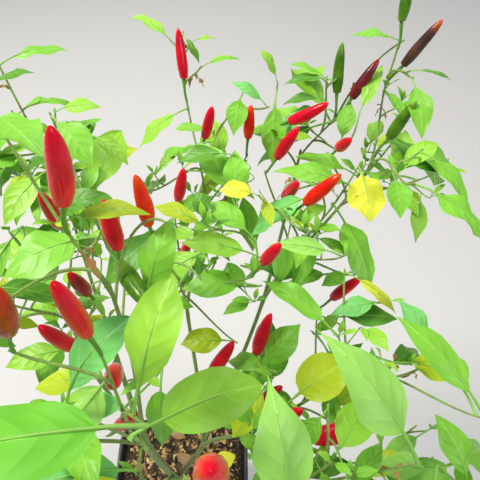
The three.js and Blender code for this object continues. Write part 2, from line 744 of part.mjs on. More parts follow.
const plant = new THREE.Group();
plant.add(meshOf('pot', potSolid(), 'pot'));
plant.add(meshOf('soil', soilSolid(), 'soil'));
for (const [name, limb] of Object.entries(grownLimbs)) plant.add(meshOf(name, limb.solid, 'wood'));
for (const mass of grownMasses) plant.add(meshOf(mass.name, massSolid(mass), 'foliage'));

export default plant;
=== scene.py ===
import json
import math
from types import SimpleNamespace as Bag

import bmesh
import bpy
import numpy as np
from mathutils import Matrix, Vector

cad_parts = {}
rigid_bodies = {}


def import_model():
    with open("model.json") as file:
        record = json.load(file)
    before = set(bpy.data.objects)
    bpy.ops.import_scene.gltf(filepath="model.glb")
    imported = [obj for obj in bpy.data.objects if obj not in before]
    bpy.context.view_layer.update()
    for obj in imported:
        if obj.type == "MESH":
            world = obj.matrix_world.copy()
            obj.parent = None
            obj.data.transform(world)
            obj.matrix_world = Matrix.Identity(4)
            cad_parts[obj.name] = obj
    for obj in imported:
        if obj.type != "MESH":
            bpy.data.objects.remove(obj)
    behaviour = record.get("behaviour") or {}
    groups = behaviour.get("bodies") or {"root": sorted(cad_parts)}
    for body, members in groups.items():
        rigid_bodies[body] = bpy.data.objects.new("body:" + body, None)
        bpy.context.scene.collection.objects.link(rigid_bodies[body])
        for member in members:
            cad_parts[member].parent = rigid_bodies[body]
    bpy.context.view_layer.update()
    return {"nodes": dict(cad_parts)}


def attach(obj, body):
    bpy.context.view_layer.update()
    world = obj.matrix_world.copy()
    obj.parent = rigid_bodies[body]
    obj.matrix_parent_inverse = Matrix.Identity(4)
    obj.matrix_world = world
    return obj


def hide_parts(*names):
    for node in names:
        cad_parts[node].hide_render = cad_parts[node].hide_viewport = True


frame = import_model()
body = "root"
mm = 0.001
print("frame loaded:", len(frame["nodes"]), "nodes")

# Pot and soil, in millimetres like the rest of the plant's rule.
pot = {"side": 200, "height": 182, "corner": 30, "wall": 2.6, "floor": 4, "draft": 0.83, "lipHeight": 9,
       "lipReach": 3}
soil = {"depth": 168, "gap": 0.3}
soilTop = pot["floor"] + soil["gap"] + soil["depth"]

# Limbs: parent, tip as x, y and height above the soil, radius at the foot and at the end.
limbs = {
    "trunk": (None, (5, -4, 96), 6.6, 4.8),
    "stem_front": ("trunk", (14, -24, 232), 3.9, 3),
    "stem_left": ("trunk", (-18, 12, 206), 3.7, 2.9),
    "stem_right": ("trunk", (44, 16, 196), 3.8, 3),
    "bough_front": ("stem_front", (20, -42, 400), 2.6, 1.9),
    "bough_near": ("stem_front", (-8, -118, 348), 2.4, 1.8),
    "bough_near_right": ("stem_front", (86, -74, 350), 2.4, 1.8),
    "bough_top": ("stem_left", (0, 28, 440), 2.5, 1.9),
    "bough_left": ("stem_left", (-46, 34, 392), 2.2, 1.8),
    "bough_left_far": ("stem_left", (-108, -8, 322), 2.4, 1.8),
    "bough_back_left": ("stem_left", (-58, 112, 356), 2.3, 1.8),
    "bough_back": ("stem_right", (30, 122, 330), 2.5, 1.9),
    "bough_far_right": ("stem_right", (112, 116, 366), 2.5, 1.9),
    "bough_right": ("stem_right", (106, 4, 304), 2.4, 1.8),
}

# Masses: a placed fruit is x, y, height of its calyx, bearing, lean off upright, length, width, kind,
# and a placed leaf is x, y, height of its blade's base, bearing, rise, length, width, tint and, where
# it isn't left to the draw, its outline.
masses = {
    "foliage_top": {
        "bough": "bough_top", "heart": (6, 26, 545), "ball": 80, "shoots": 3, "seed": 11,
        "fruits": [(8, 12, 637, 0, 10, 44, 12, "red"), (0, 71, 521, 105, 13, 42, 14, "red"),
                   (4, 56, 520, -55, 82, 46, 14, "green")],
        "leaves": [(2, 18, 600, -151, 3, 38, 28, "fresh", "broad"), (-9, 54, 577, 7, 5, 42, 15, "lime"),
                   (-42, 77, 632, -46, 12, 48, 24, "fresh"), (-36, 130, 584, -48, -11, 38, 24, "fresh"),
                   (-13, 130, 571, -32, -22, 28, 15, "bright")],
    },
    "foliage_left": {
        "bough": "bough_left", "heart": (-44, 44, 478), "ball": 75, "shoots": 3, "seed": 12,
        "fruits": [(-44, 88, 524, -100, 6, 42, 12, "red"), (-26, 8, 490, -160, 16, 42, 12, "red"),
                   (-31, 60, 476, -125, 10, 36, 12, "dark")],
        "leaves": [(-51, 100, 562, -123, -14, 38, 22, "bright"), (-40, 155, 578, 6, 4, 26, 14, "bright"),
                   (-22, -7, 470, -174, -4, 38, 22, "lime")],
    },
    "foliage_front": {
        "bough": "bough_front", "heart": (19, -47, 486), "ball": 75, "shoots": 1, "seed": 13,
        "fruits": [(14, -29, 588, 150, 5, 44, 11, "red"), (-24, -28, 588, 5, 14, 40, 13, "rust"),
                   (5, -9, 494, -70, 40, 38, 12, "red"), (-14, -17, 386, 5, 34, 38, 12, "red")],
        "leaves": [(17, -64, 555, -167, 15, 82, 40, "lush", "broad"),
                   (12, -67, 474, -158, 48, 62, 32, "cool"),
                   (35, -39, 542, 67, 46, 66, 33, "bright", "wedge"),
                   (-17, -29, 508, 26, 55, 79, 27, "cool", "wedge"),
                   (42, -46, 508, 23, -1, 66, 36, "bright", "broad"),
                   (25, 0, 424, -95, -56, 58, 25, "fresh"), (-21, -27, 470, 4, 4, 30, 19, "cool")],
    },
    "foliage_middle": {
        "bough": "bough_back", "heart": (34, 96, 440), "ball": 80, "shoots": 4, "seed": 14,
        "fruits": [(24, 78, 540, 120, 5, 44, 12, "orange"), (30, 168, 463, 25, 14, 38, 11, "red"),
                   (32, 136, 413, -15, 15, 34, 11, "red"), (107, 84, 482, -4, 24, 29, 11, "red")],
        "leaves": [(22, 44, 507, 63, 45, 56, 28, "fresh"), (90, 101, 475, 171, 7, 54, 23, "bright"),
                   (88, 90, 441, -178, -1, 52, 26, "fresh"), (70, 74, 360, -178, -2, 42, 26, "lime"),
                   (92, 115, 486, 142, 17, 42, 20, "fresh"), (54, 117, 493, 159, 15, 42, 17, "lime"),
                   (59, 124, 492, 113, 35, 24, 15, "deep")],
    },
    "foliage_back": {
        "bough": "bough_back", "heart": (52, 214, 418), "ball": 90, "shoots": 3, "seed": 15,
        "fruits": [(32, 286, 513, 100, 25, 46, 11, "red"), (53, 238, 478, 20, 15, 36, 11, "red"),
                   (96, 238, 478, 60, 8, 36, 11, "orange")],
        "leaves": [(70, 188, 503, -175, -3, 40, 17, "deep"), (15, 311, 544, 150, 21, 45, 13, "bright"),
                   (53, 236, 489, 174, 5, 30, 13, "fresh"), (85, 160, 481, 92, 37, 42, 24, "fresh"),
                   (88, 251, 512, -102, -19, 33, 21, "fresh"), (107, 249, 516, 160, 30, 32, 13, "cool"),
                   (35, 315, 538, -58, -23, 27, 9, "deep"), (44, 316, 536, 20, 2, 22, 8, "bright"),
                   (57, 298, 522, 19, 5, 34, 10, "fresh")],
    },
    "foliage_back_left": {
        "bough": "bough_back_left", "heart": (-86, 190, 452), "ball": 95, "shoots": 4, "seed": 55,
        "leaves": [(-92, 212, 583, 12, 9, 42, 15, "fresh"), (-100, 188, 578, 16, 12, 30, 16, "deep")],
    },
    "foliage_right_low": {
        "bough": "bough_right", "heart": (98, 22, 362), "ball": 65, "shoots": 2, "seed": 17,
        "fruits": [(62, 29, 385, 40, 40, 42, 13, "red"), (103, 45, 397, 58, 30, 44, 13, "red"),
                   (105, 8, 370, 20, 40, 32, 11, "dark"), (111, -23, 413, 5, 35, 40, 13, "red")],
        "leaves": [(138, 6, 404, 30, 21, 50, 38, "lime", "broad"), (112, 34, 399, 43, 40, 48, 27, "fresh"),
                   (106, 7, 404, -129, -23, 44, 28, "lime")],
    },
    "foliage_right": {
        "bough": "bough_right", "heart": (196, 36, 392), "ball": 85, "shoots": 3, "seed": 18,
        "fruits": [(185, 120, 364, 5, 33, 42, 13, "red")],
        "leaves": [(260, -7, 444, 132, 21, 76, 26, "fresh"), (156, 55, 440, 139, 6, 63, 23, "fresh"),
                   (193, 92, 443, -31, -20, 44, 13, "yellow"), (246, 38, 428, 130, 36, 48, 20, "cool"),
                   (204, 76, 431, -170, -7, 38, 18, "cool")],
    },
    "foliage_right_front": {
        "bough": "bough_near_right", "heart": (128, -68, 440), "ball": 75, "shoots": 1, "seed": 19,
        "fruits": [(138, -44, 460, 8, 85, 45, 15, "red"), (76, -94, 595, -66, 8, 42, 14, "red")],
        "leaves": [(114, -90, 519, 103, 49, 72, 32, "pale"), (190, -48, 488, 135, 35, 88, 40, "pale"),
                   (151, -55, 482, 52, 10, 38, 24, "bright"), (138, -41, 493, -136, -42, 24, 15, "fresh")],
    },
    "foliage_far_middle": {
        "bough": "bough_far_right", "heart": (148, 146, 436), "ball": 70, "shoots": 2, "seed": 20,
        "fruits": [(147, 152, 477, 0, 35, 44, 13, "orange"), (131, 178, 456, -60, 25, 38, 12, "red"),
                   (123, 200, 487, 0, 25, 40, 12, "red")],
        "leaves": [(184, 145, 458, -64, -24, 62, 30, "fresh"), (195, 166, 498, -88, -3, 46, 34, "yellow"),
                   (180, 168, 487, 168, 9, 64, 21, "fresh"), (97, 143, 500, 172, 6, 27, 18, "yellow"),
                   (161, 107, 467, 176, 9, 52, 17, "pale"), (105, 113, 434, -4, -11, 44, 23, "deep"),
                   (186, 111, 420, -164, -11, 23, 15, "fresh")],
    },
    "foliage_far_right": {
        "bough": "bough_far_right", "heart": (214, 200, 480), "ball": 85, "shoots": 2, "seed": 35,
        "fruits": [(234, 250, 551, 10, 30, 46, 13, "purple"), (224, 258, 588, 100, 15, 40, 10, "green"),
                   (222, 200, 511, 5, 20, 40, 12, "green"), (178, 199, 499, -70, 33, 28, 11, "red")],
        "leaves": [(223, 92, 555, -36, -16, 52, 25, "fresh"), (243, 230, 559, -10, -7, 32, 10, "deep"),
                   (238, 218, 550, -85, -22, 44, 20, "fresh"), (226, 159, 518, 31, 21, 36, 19, "bright"),
                   (242, 147, 534, -46, -20, 42, 15, "fresh"), (215, 148, 510, -86, -15, 30, 21, "fresh"),
                   (186, 192, 480, 165, 11, 47, 22, "fresh")],
    },
    "foliage_back_right": {
        "bough": "bough_far_right", "heart": (150, 236, 462), "ball": 75, "shoots": 1, "seed": 45,
        "fruits": [(179, 249, 523, 90, 20, 44, 11, "green"), (193, 245, 520, 30, 35, 40, 11, "plum"),
                   (135, 227, 507, -15, 50, 42, 12, "red")],
        "leaves": [(184, 216, 498, 74, 36, 36, 18, "fresh"), (220, 263, 570, 162, 0, 34, 13, "fresh"),
                   (200, 230, 522, 59, 33, 45, 14, "bright"), (121, 262, 533, 134, 51, 30, 12, "bright"),
                   (160, 255, 540, 160, 15, 30, 11, "fresh"), (163, 251, 537, 175, -7, 36, 10, "deep"),
                   (160, 244, 520, 175, -8, 31, 12, "deep")],
    },
    "foliage_left_far": {
        "bough": "bough_left_far", "heart": (-182, 50, 418), "ball": 100, "shoots": 6, "seed": 23,
    },
    "foliage_near_left": {
        "bough": "bough_left_far", "heart": (-150, -92, 432), "ball": 95, "shoots": 6, "seed": 24,
    },
    "foliage_near_middle": {
        "bough": "bough_near", "heart": (-56, -180, 470), "ball": 85, "shoots": 6, "seed": 25,
    },
    "foliage_near": {
        "bough": "bough_near", "heart": (42, -214, 412), "ball": 90, "shoots": 6, "seed": 26,
    },
    "foliage_near_right": {
        "bough": "bough_near_right", "heart": (160, -166, 412), "ball": 95, "shoots": 6, "seed": 27,
    },
    "foliage_right_far": {
        "bough": "bough_right", "heart": (236, -72, 372), "ball": 85, "shoots": 6, "seed": 28,
        "leaves": [(248, -61, 429, 117, 34, 47, 20, "fresh")],
    },
}

bend = {"leaveChord": 1.3, "leaveReach": 0.36, "arriveUp": 0.55, "arriveReach": 0.34}
wood = {"flare": 1.55, "flarePower": 5, "sunk": 4, "stemFoot": 1.8, "rootReach": 4, "rootMost": 0.3,
        "middle": 0.55, "tipPast": 2.5, "shortest": 8, "forkSpacing": 13, "stemFork": 0.3, "twigFork": 0.2,
        "forksTried": 4, "turnCost": 1.7, "dropCost": 1.5, "bows": (0, 0.22, -0.22, 0.42, -0.42)}
leafRule = {"petiole": 0.24, "widest": 0.5, "arch": 0.1, "lengths": (44, 72), "widths": (0.42, 0.52),
            "rises": (-52, 30), "step": 5, "goldenAngle": 137.5}
fruitRule = {"stalk": 24, "chance": 0.42, "lengths": (34, 46), "width": 12.5, "rises": (58, 88)}
shootRule = {"tries": 80, "spacing": 34, "rises": (-25, 80), "reaches": (0.5, 0.85), "leaves": 5,
             "placedLeaves": 2, "bareSpots": 4, "outward": 60, "leafSeed": 100}
room = {"most": 40000, "limb": 2.2, "limbBalls": 5, "limbOwner": 100, "stem": 1.4, "stemBalls": 6,
        "twig": 2.6, "rootBalls": 2, "leaf": 4.2, "probes": (0.3, 0.45, 0.6, 0.75, 0.92), "spread": 0.4,
        "taper": 1.6, "fruit": 6.8, "fruitBalls": 9, "node": 14, "sameMass": 0.4, "cellMargin": 4,
        "ballRim": 12, "fruitRim": 38}

# The plant is seen from here, as x, y and height above the soil, and what the seed grows keeps off the
# lines to the placed fruits and leaves and to the rear part of the soil.
outlook = (88, -132, 800)
sight = {"air": 4, "shares": (0.4, 0.62, 0.85), "end": 14, "from": (-64, 24), "to": (76, 78),
         "columns": 6, "rows": 3}
stemShares = (0, 1 / 3, 2 / 3, 1)
upward = np.array((0.0, 0.0, 1.0))
drawRule = {"seedFactor": 7919, "factor": 1664525, "step": 1013904223, "range": 2 ** 32}
lineLook = {"nudge": 1e-4, "steps": 201}
fullTurn = 6.28


def draws(seed):
    # Evenly spread draws that are the same on every run.
    state = seed * drawRule["seedFactor"]

    def draw(low, high):
        nonlocal state
        state = (state * drawRule["factor"] + drawRule["step"]) % drawRule["range"]
        return low + (high - low) * (state / drawRule["range"])

    return draw


def onPlant(place):
    return np.array((place[0], place[1], soilTop + place[2]), float)


def unit(vector):
    return vector / (np.linalg.norm(vector) or 1.0)


def heading(bearing, rise):
    turn, lift = math.radians(bearing), math.radians(rise)
    return np.array((math.cos(turn) * math.cos(lift), math.sin(turn) * math.cos(lift), math.sin(lift)))


def sideOf(bearing):
    turn = math.radians(bearing)
    return np.array((-math.sin(turn), math.cos(turn), 0.0))


# A line is a row of control points: two are straight, three or four a smooth bend.
def pointOn(line, share):
    while len(line) > 1:
        line = line[:-1] + (line[1:] - line[:-1]) * share
    return line[0]


def tangentOn(line, share):
    nudge = lineLook["nudge"]
    return unit(pointOn(line, min(share + nudge, 1)) - pointOn(line, max(share - nudge, 0)))


def pointsOn(line, shares):
    return np.array([pointOn(line, share) for share in shares])


def lengthOf(line):
    spots = pointsOn(line, np.linspace(0, 1, lineLook["steps"]))
    return float(np.linalg.norm(spots[1:] - spots[:-1], axis=1).sum())


def onRuns(line, shares, share):
    # The place on the straight runs between a line's rings, where the solid's wood is.
    after = max(1, next(i for i, ring in enumerate(shares) if ring >= share))
    low, high = shares[after - 1], shares[after]
    return pointOn(line, low) + (pointOn(line, high) - pointOn(line, low)) * ((share - low) / (high - low))


def limbLine(start, startAlong, tip, bow=0):
    length = float(np.linalg.norm(tip - start))
    chord = unit(tip - start)
    leave = unit(chord * bend["leaveChord"] + startAlong)
    arrive = unit(chord + upward * bend["arriveUp"])
    sideways = unit(np.cross(chord, upward))
    return np.array((
        start,
        start + leave * length * bend["leaveReach"] + sideways * length * bow,
        tip - arrive * length * bend["arriveReach"] + sideways * length * bow,
        tip,
    ))


# Balls stand in for what has grown already, so that new growth can keep clear of it.
class Room:
    def __init__(self, most):
        self.at, self.near = np.zeros((most, 3)), np.zeros((most, 3))
        self.radius, self.owner, self.count = np.zeros(most), np.zeros(most, int), 0

    def add(self, balls, owner):
        at, radius, near = balls
        rows = slice(self.count, self.count + len(at))
        self.at[rows], self.radius[rows], self.near[rows], self.owner[rows] = at, radius, near, owner
        self.count += len(at)

    def clear(self, balls, owner, placed=False):
        at, radius, near = balls
        rows = slice(0, self.count)
        same = self.owner[rows] == owner
        apart = ((at[:, None] - self.at[None, rows]) ** 2).sum(-1)
        reach = radius + self.radius[rows] * np.where(same, room["sameMass"], 1.0)
        hit = apart <= reach ** 2
        if placed:
            return not (hit & ~same).any()
        close = ((near[:, None] - self.near[None, rows]) ** 2).sum(-1) < room["node"] ** 2
        return not (hit & ~(same & close)).any()


taken = Room(room["most"])


def ballsAlong(line, radius, spacing, near=None):
    count = max(2, math.ceil(float(np.linalg.norm(line[-1] - line[0])) / spacing))
    at = pointsOn(line, [i / count for i in range(count + 1)])
    return at, radius, at if near is None else np.tile(near, (len(at), 1))


def growLimbs():
    grown = {}
    for index, (name, (parentName, tip, foot, end)) in enumerate(limbs.items()):
        parent = grown.get(parentName)
        start = pointOn(parent.line, 1) if parent else np.array((0, 0, soilTop - wood["sunk"]), float)
        startAlong = tangentOn(parent.line, 1) if parent else upward
        line = limbLine(start, startAlong, onPlant(tip))
        grown[name] = Bag(line=line, foot=foot, end=end, parent=parent)
        taken.add(ballsAlong(line, foot + room["limb"], room["limbBalls"]), room["limbOwner"] + index)
    return grown


def leafLine(node, bearing, rise, length):
    way = heading(bearing, rise)
    over = np.cross(way, sideOf(bearing))
    total = length / (1 - leafRule["petiole"])
    middle = node + way * total / 2 + over * total * leafRule["arch"] * 2
    return np.array((node, middle, node + way * total))


def acrossLeaf(line, side, width, share):
    half = width * room["spread"] * (1 - abs(share - leafRule["widest"]) * room["taper"])
    return [pointOn(line, share) + side * way * half for way in (-1, 0, 1)]


def leafBalls(line, bearing, width):
    side, at = sideOf(bearing), []
    for share in room["probes"]:
        at += acrossLeaf(line, side, width, share)
    return np.array(at), room["leaf"], np.tile(line[0], (len(at), 1))


def bestForks(mass, node):
    forks = []
    for spot in mass.wood:
        reach = node - spot.at
        length = max(float(np.linalg.norm(reach)), 1)
        agree = float(reach @ spot.along) / length
        cost = length * (wood["turnCost"] - agree) + max(0, spot.at[2] - node[2]) * wood["dropCost"]
        forks.append((cost, spot, length))
    cheapest = sorted(forks, key=lambda fork: fork[0])[:wood["forksTried"]]
    return [(spot, length) for cost, spot, length in cheapest]


def addWood(mass, line, shares, length, first):
    steps = max(2, math.floor(length / wood["forkSpacing"] + 0.5))
    for step in range(1, steps):
        share = first + (1 - first) * (step / steps)
        at, along = onRuns(line, shares, share), tangentOn(line, share)
        mass.wood.append(Bag(at=at, along=along, line=line, share=share))


def twigShares(length):
    return (0, min(wood["rootReach"] / length, wood["rootMost"]), wood["middle"], 1)


def growTwig(mass, node, placed=False):
    forks = bestForks(mass, node)
    if forks[0][1] < wood["shortest"]:
        return Bag(root=forks[0][0].at, line=None, host=(forks[0][0].line, forks[0][0].share))
    for spot, length in forks:
        for bow in wood["bows"]:
            past = unit(node - spot.at) * wood["tipPast"] + node
            line = limbLine(spot.at, spot.along, past, bow)
            at, radius, near = ballsAlong(line, room["twig"], room["stemBalls"])
            own = at[room["rootBalls"]:]
            if not taken.clear((own, radius, near[room["rootBalls"]:]), mass.index):
                continue
            if not placed and inSight(own):
                continue
            mass.wood = [other for other in mass.wood if other is not spot]
            addWood(mass, line, twigShares(length), length, wood["twigFork"])
            taken.add((at, radius, near), mass.index)
            host = (line, 1 - wood["tipPast"] / length)
            twig = Bag(root=node, line=line, length=length, host=host, foot=(spot.line, spot.share))
            mass.twigs.append(twig)
            return twig
    return None


# What shows from the outlook: the soil's rear part, and each placed fruit and leaf.
viewpoint = onPlant(outlook)
shown = []


def showSoil():
    (left, front), (right, back) = sight["from"], sight["to"]
    for x in np.linspace(left, right, sight["columns"]):
        shown.extend(onPlant((x, y, 0)) for y in np.linspace(front, back, sight["rows"]))


def inSight(spots):
    reach, lines = spots - viewpoint, np.array(shown) - viewpoint
    far = (lines ** 2).sum(-1)
    share = reach @ lines.T / far
    off = np.linalg.norm(reach[:, None] - share[..., None] * lines, axis=-1)
    return bool(((share > 0) & (share <= 1 - sight["end"] / np.sqrt(far)) & (off < sight["air"])).any())


def inCell(mass, spots, rim=room["ballRim"]):
    own = np.linalg.norm(spots - mass.heart, axis=-1)
    if (own > mass.ball + rim).any():
        return False
    others = [np.linalg.norm(spots - other.heart, axis=-1) for other in grownMasses if other is not mass]
    return bool((np.array(others) - own > room["cellMargin"]).all())


def fits(mass, balls, placed, rim):
    if not taken.clear(balls, mass.index, placed):
        return False
    return placed or (inCell(mass, balls[0], rim) and not inSight(balls[0]))


def newLeaf(line, host, bearing, length, width, tint):
    return Bag(line=line, host=host, bearing=bearing, length=length, width=width, tint=tint, outline=None)


def addLeaf(mass, root, host, bearing, rise, length, width, tint=None):
    line = leafLine(root, bearing, rise, length)
    balls = leafBalls(line, bearing, width)
    if not fits(mass, balls, tint is not None, room["ballRim"]):
        return False
    mass.leaves.append(newLeaf(line, host, bearing, length, width, tint))
    taken.add(balls, mass.index)
    if tint is not None:
        for share in sight["shares"]:
            shown.extend(acrossLeaf(line, sideOf(bearing), width, share))
    return True


def addFruit(mass, root, host, calyx, way, length, width, kind=None):
    tip = calyx + way * length
    balls = ballsAlong(np.array((calyx, tip)), room["fruit"], room["fruitBalls"], root)
    if not fits(mass, balls, kind is not None, room["fruitRim"]):
        return False
    mass.fruits.append(Bag(host=host, calyx=calyx, tip=tip, width=width, length=length, kind=kind))
    taken.add(balls, mass.index)
    if kind is not None:
        shown.extend(calyx + (tip - calyx) * share for share in sight["shares"])
    return True


def backAlong(twig, distance):
    if twig.line is None:
        return twig.root, twig.host
    share = max(wood["rootMost"], 1 - (wood["tipPast"] + distance) / twig.length)
    return onRuns(twig.line, twigShares(twig.length), share), (twig.line, share)


def growPlaced(mass):
    for x, y, height, bearing, lean, length, width, kind in masses[mass.name].get("fruits", ()):
        way, calyx = heading(bearing, 90 - lean), onPlant((x, y, height))
        twig = growTwig(mass, calyx - way * fruitRule["stalk"], True)
        if twig and addFruit(mass, twig.root, twig.host, calyx, way, length, width, kind):
            mass.ends.append((twig, True))
    for x, y, height, bearing, rise, length, width, tint, *outline in masses[mass.name].get("leaves", ()):
        fromRoot = pointOn(leafLine(np.zeros(3), bearing, rise, length), leafRule["petiole"])
        twig = growTwig(mass, onPlant((x, y, height)) - fromRoot, True)
        if twig and addLeaf(mass, twig.root, twig.host, bearing, rise, length, width, tint):
            mass.leaves[-1].outline = outline
            mass.ends.append((twig, True))


def growShoots(mass):
    draw, found = draws(mass.seed), 0
    for tries in range(shootRule["tries"]):
        if found == mass.shoots:
            break
        way = heading(draw(-180, 180), draw(*shootRule["rises"]))
        node = mass.heart + way * mass.ball * draw(*shootRule["reaches"])
        roomy = all(np.linalg.norm(twig.root - node) > shootRule["spacing"] for twig, placed in mass.ends)
        if not roomy or not inCell(mass, node):
            continue
        twig = growTwig(mass, node)
        if twig and twig.line is not None:
            mass.ends.append((twig, False))
            found += 1


def leafUp(mass):
    draw = draws(mass.seed + shootRule["leafSeed"])
    for twig, placed in mass.ends:
        away = twig.root - mass.heart
        start = draw(-shootRule["outward"], shootRule["outward"]) + math.degrees(math.atan2(away[1], away[0]))
        if not placed and draw(0, 1) < fruitRule["chance"]:
            way = heading(draw(-180, 180), draw(*fruitRule["rises"]))
            calyx = twig.root + way * fruitRule["stalk"]
            addFruit(mass, twig.root, twig.host, calyx, way, draw(*fruitRule["lengths"]), fruitRule["width"])
        for i in range(shootRule["placedLeaves"] if placed else shootRule["leaves"]):
            length = draw(*leafRule["lengths"])
            width = length * draw(*leafRule["widths"])
            root, host = backAlong(twig, 1 + i * leafRule["step"])
            bearing = start + i * leafRule["goldenAngle"]
            addLeaf(mass, root, host, bearing, draw(*leafRule["rises"]), length, width)
    for spot in [spot for i, spot in enumerate(mass.wood) if i % shootRule["bareSpots"] == 1]:
        length = draw(*leafRule["lengths"])
        bearing, rise = draw(-180, 180), draw(*leafRule["rises"])
        width = length * draw(*leafRule["widths"])
        addLeaf(mass, spot.at, (spot.line, spot.share), bearing, rise, length, width)


grownLimbs = growLimbs()
grownMasses = []
for index, (name, row) in enumerate(masses.items()):
    grownMasses.append(Bag(name=name, index=index, bough=row["bough"], ball=row["ball"], shoots=row["shoots"],
                           seed=row["seed"], heart=onPlant(row["heart"]), wood=[], twigs=[], shootlets=[],
                           leaves=[], fruits=[], ends=[]))
for mass in grownMasses:
    parent = grownLimbs[mass.bough]
    mass.line = limbLine(pointOn(parent.line, 1), tangentOn(parent.line, 1), mass.heart)
    addWood(mass, mass.line, stemShares, lengthOf(mass.line), wood["stemFork"])
    taken.add(ballsAlong(mass.line, wood["stemFoot"] + room["stem"], room["stemBalls"]), mass.index)
showSoil()
for step in (growPlaced, growShoots, leafUp):
    for mass in grownMasses:
        step(mass)

# Finer growth, kept to the same cells: young shoots with small leaves, on the wood that is still free.
fine = {"seed": 400, "share": 0.75, "follow": 0.5, "shootRises": (-20, 70), "shootLengths": (14, 30),
        "shootAir": 1.6, "shootBalls": 4, "leaves": 3, "leafStep": 0.22, "leafAir": 2.4,
        "leafLengths": (24, 48), "leafWidths": (0.4, 0.5), "leafRises": (-45, 45), "tipSeed": 800,
        "tipLeaves": 3, "tipAir": 0.8, "tipLengths": (9, 20), "tipWidths": (0.3, 0.42), "tipRises": (30, 75)}


def addFineLeaf(mass, host, bearing, rise, length, width, air):
    line = leafLine(pointOn(*host), bearing, rise, length)
    at, radius, near = leafBalls(line, bearing, width)
    balls = (at, air, near)
    if not taken.clear(balls, mass.index) or not inCell(mass, at, 0) or inSight(at):
        return False
    mass.leaves.append(newLeaf(line, host, bearing, length, width, None))
    taken.add(balls, mass.index)
    return True


def growFine(mass):
    draw = draws(mass.seed + fine["seed"])
    for spot in mass.wood:
        if draw(0, 1) > fine["share"]:
            continue
        way = unit(spot.along * fine["follow"] + heading(draw(-180, 180), draw(*fine["shootRises"])))
        start = pointOn(spot.line, spot.share)
        line = limbLine(start, spot.along, start + way * draw(*fine["shootLengths"]))
        at, radius, near = ballsAlong(line, fine["shootAir"], fine["shootBalls"])
        own = (at[room["rootBalls"]:], radius, near[room["rootBalls"]:])
        if not taken.clear(own, mass.index) or not inCell(mass, at, 0) or inSight(at):
            continue
        bearing, grown = draw(-180, 180), 0
        for i in range(fine["leaves"]):
            length = draw(*fine["leafLengths"])
            host = (line, 1 - fine["leafStep"] * i)
            turn = bearing + i * leafRule["goldenAngle"]
            rise = draw(*fine["leafRises"])
            width = length * draw(*fine["leafWidths"])
            grown += addFineLeaf(mass, host, turn, rise, length, width, fine["leafAir"])
        if grown:
            mass.shootlets.append(line)
            taken.add((at, radius, near), mass.index)


def growTips(mass):
    draw = draws(mass.seed + fine["tipSeed"])
    tips = [twig.line for twig, placed in mass.ends if twig.line is not None] + mass.shootlets
    for line in tips:
        bearing = draw(-180, 180)
        for i in range(fine["tipLeaves"]):
            length = draw(*fine["tipLengths"])
            turn = bearing + i * leafRule["goldenAngle"]
            rise = draw(*fine["tipRises"])
            width = length * draw(*fine["tipWidths"])
            addFineLeaf(mass, (line, 1.0), turn, rise, length, width, fine["tipAir"])


# Small withered bits still hang on some of the free wood.
withered = {"seed": 700, "share": 0.08, "bits": 3, "lengths": (6, 12), "widths": (0.3, 0.5),
            "rises": (-75, -10)}


def growWithered(mass):
    draw = draws(mass.seed + withered["seed"])
    for spot in mass.wood:
        if draw(0, 1) > withered["share"]:
            continue
        host, bearing = (spot.line, spot.share), draw(-180, 180)
        for i in range(withered["bits"]):
            length = draw(*withered["lengths"])
            turn = bearing + i * leafRule["goldenAngle"]
            line = leafLine(pointOn(*host), turn, draw(*withered["rises"]), length)
            width = length * draw(*withered["widths"])
            if not inSight(line):
                mass.leaves.append(newLeaf(line, host, turn, length, width, "withered"))


for step in (growFine, growTips, growWithered):
    for mass in grownMasses:
        step(mass)
print("grown: leaves", sum(len(mass.leaves) for mass in grownMasses), "twigs",
      sum(len(mass.twigs) + len(mass.shootlets) for mass in grownMasses), "fruits",
      sum(len(mass.fruits) for mass in grownMasses))


# Node helpers
def wire(tree, kind, values=None, **settings):
    node = tree.nodes.new(kind)
    for name, value in settings.items():
        setattr(node, name, value)
    for key, value in (values or {}).items():
        if isinstance(value, bpy.types.NodeSocket):
            tree.links.new(value, node.inputs[key])
        else:
            node.inputs[key].default_value = value
    return node


def calc(tree, operation, *terms):
    return wire(tree, "ShaderNodeMath", dict(enumerate(terms)), operation=operation).outputs[0]


def vectorCalc(tree, operation, *terms):
    return wire(tree, "ShaderNodeVectorMath", dict(enumerate(terms)), operation=operation).outputs[0]


def blend(tree, factor, first, second):
    # The node has sockets for numbers and vectors too: its colours are 6 and 7, and 2 comes out.
    values = {0: factor, 6: first, 7: second}
    return wire(tree, "ShaderNodeMix", values, data_type="RGBA").outputs[2]


def noise(tree, vector, scale, detail, rough=0.5):
    values = {"Vector": vector, "Scale": scale, "Detail": detail, "Roughness": rough}
    return wire(tree, "ShaderNodeTexNoise", values).outputs[0]


def ramp(tree, value, low, high, first=0.0, last=1.0):
    values = {"Value": value, "From Min": low, "From Max": high, "To Min": first, "To Max": last}
    return wire(tree, "ShaderNodeMapRange", values, interpolation_type="SMOOTHSTEP").outputs[0]


def rgb(red, green, blue):
    # A colour seen as 0 to 255 on a screen, as the linear value that a shader takes.
    def linear(part):
        part /= 255
        return part / 12.92 if part <= 0.04045 else ((part + 0.055) / 1.055) ** 2.4
    return (linear(red), linear(green), linear(blue), 1.0)


def startMaterial(name, **values):
    material = bpy.data.materials.new(name)
    material.use_nodes = True
    tree = material.node_tree
    shader = tree.nodes["Principled BSDF"]
    for key, value in values.items():
        shader.inputs[key].default_value = value
    return material, tree, shader


def plainMaterial(name, colour, rough):
    return startMaterial(name, **{"Base Color": colour, "Roughness": rough})[0]


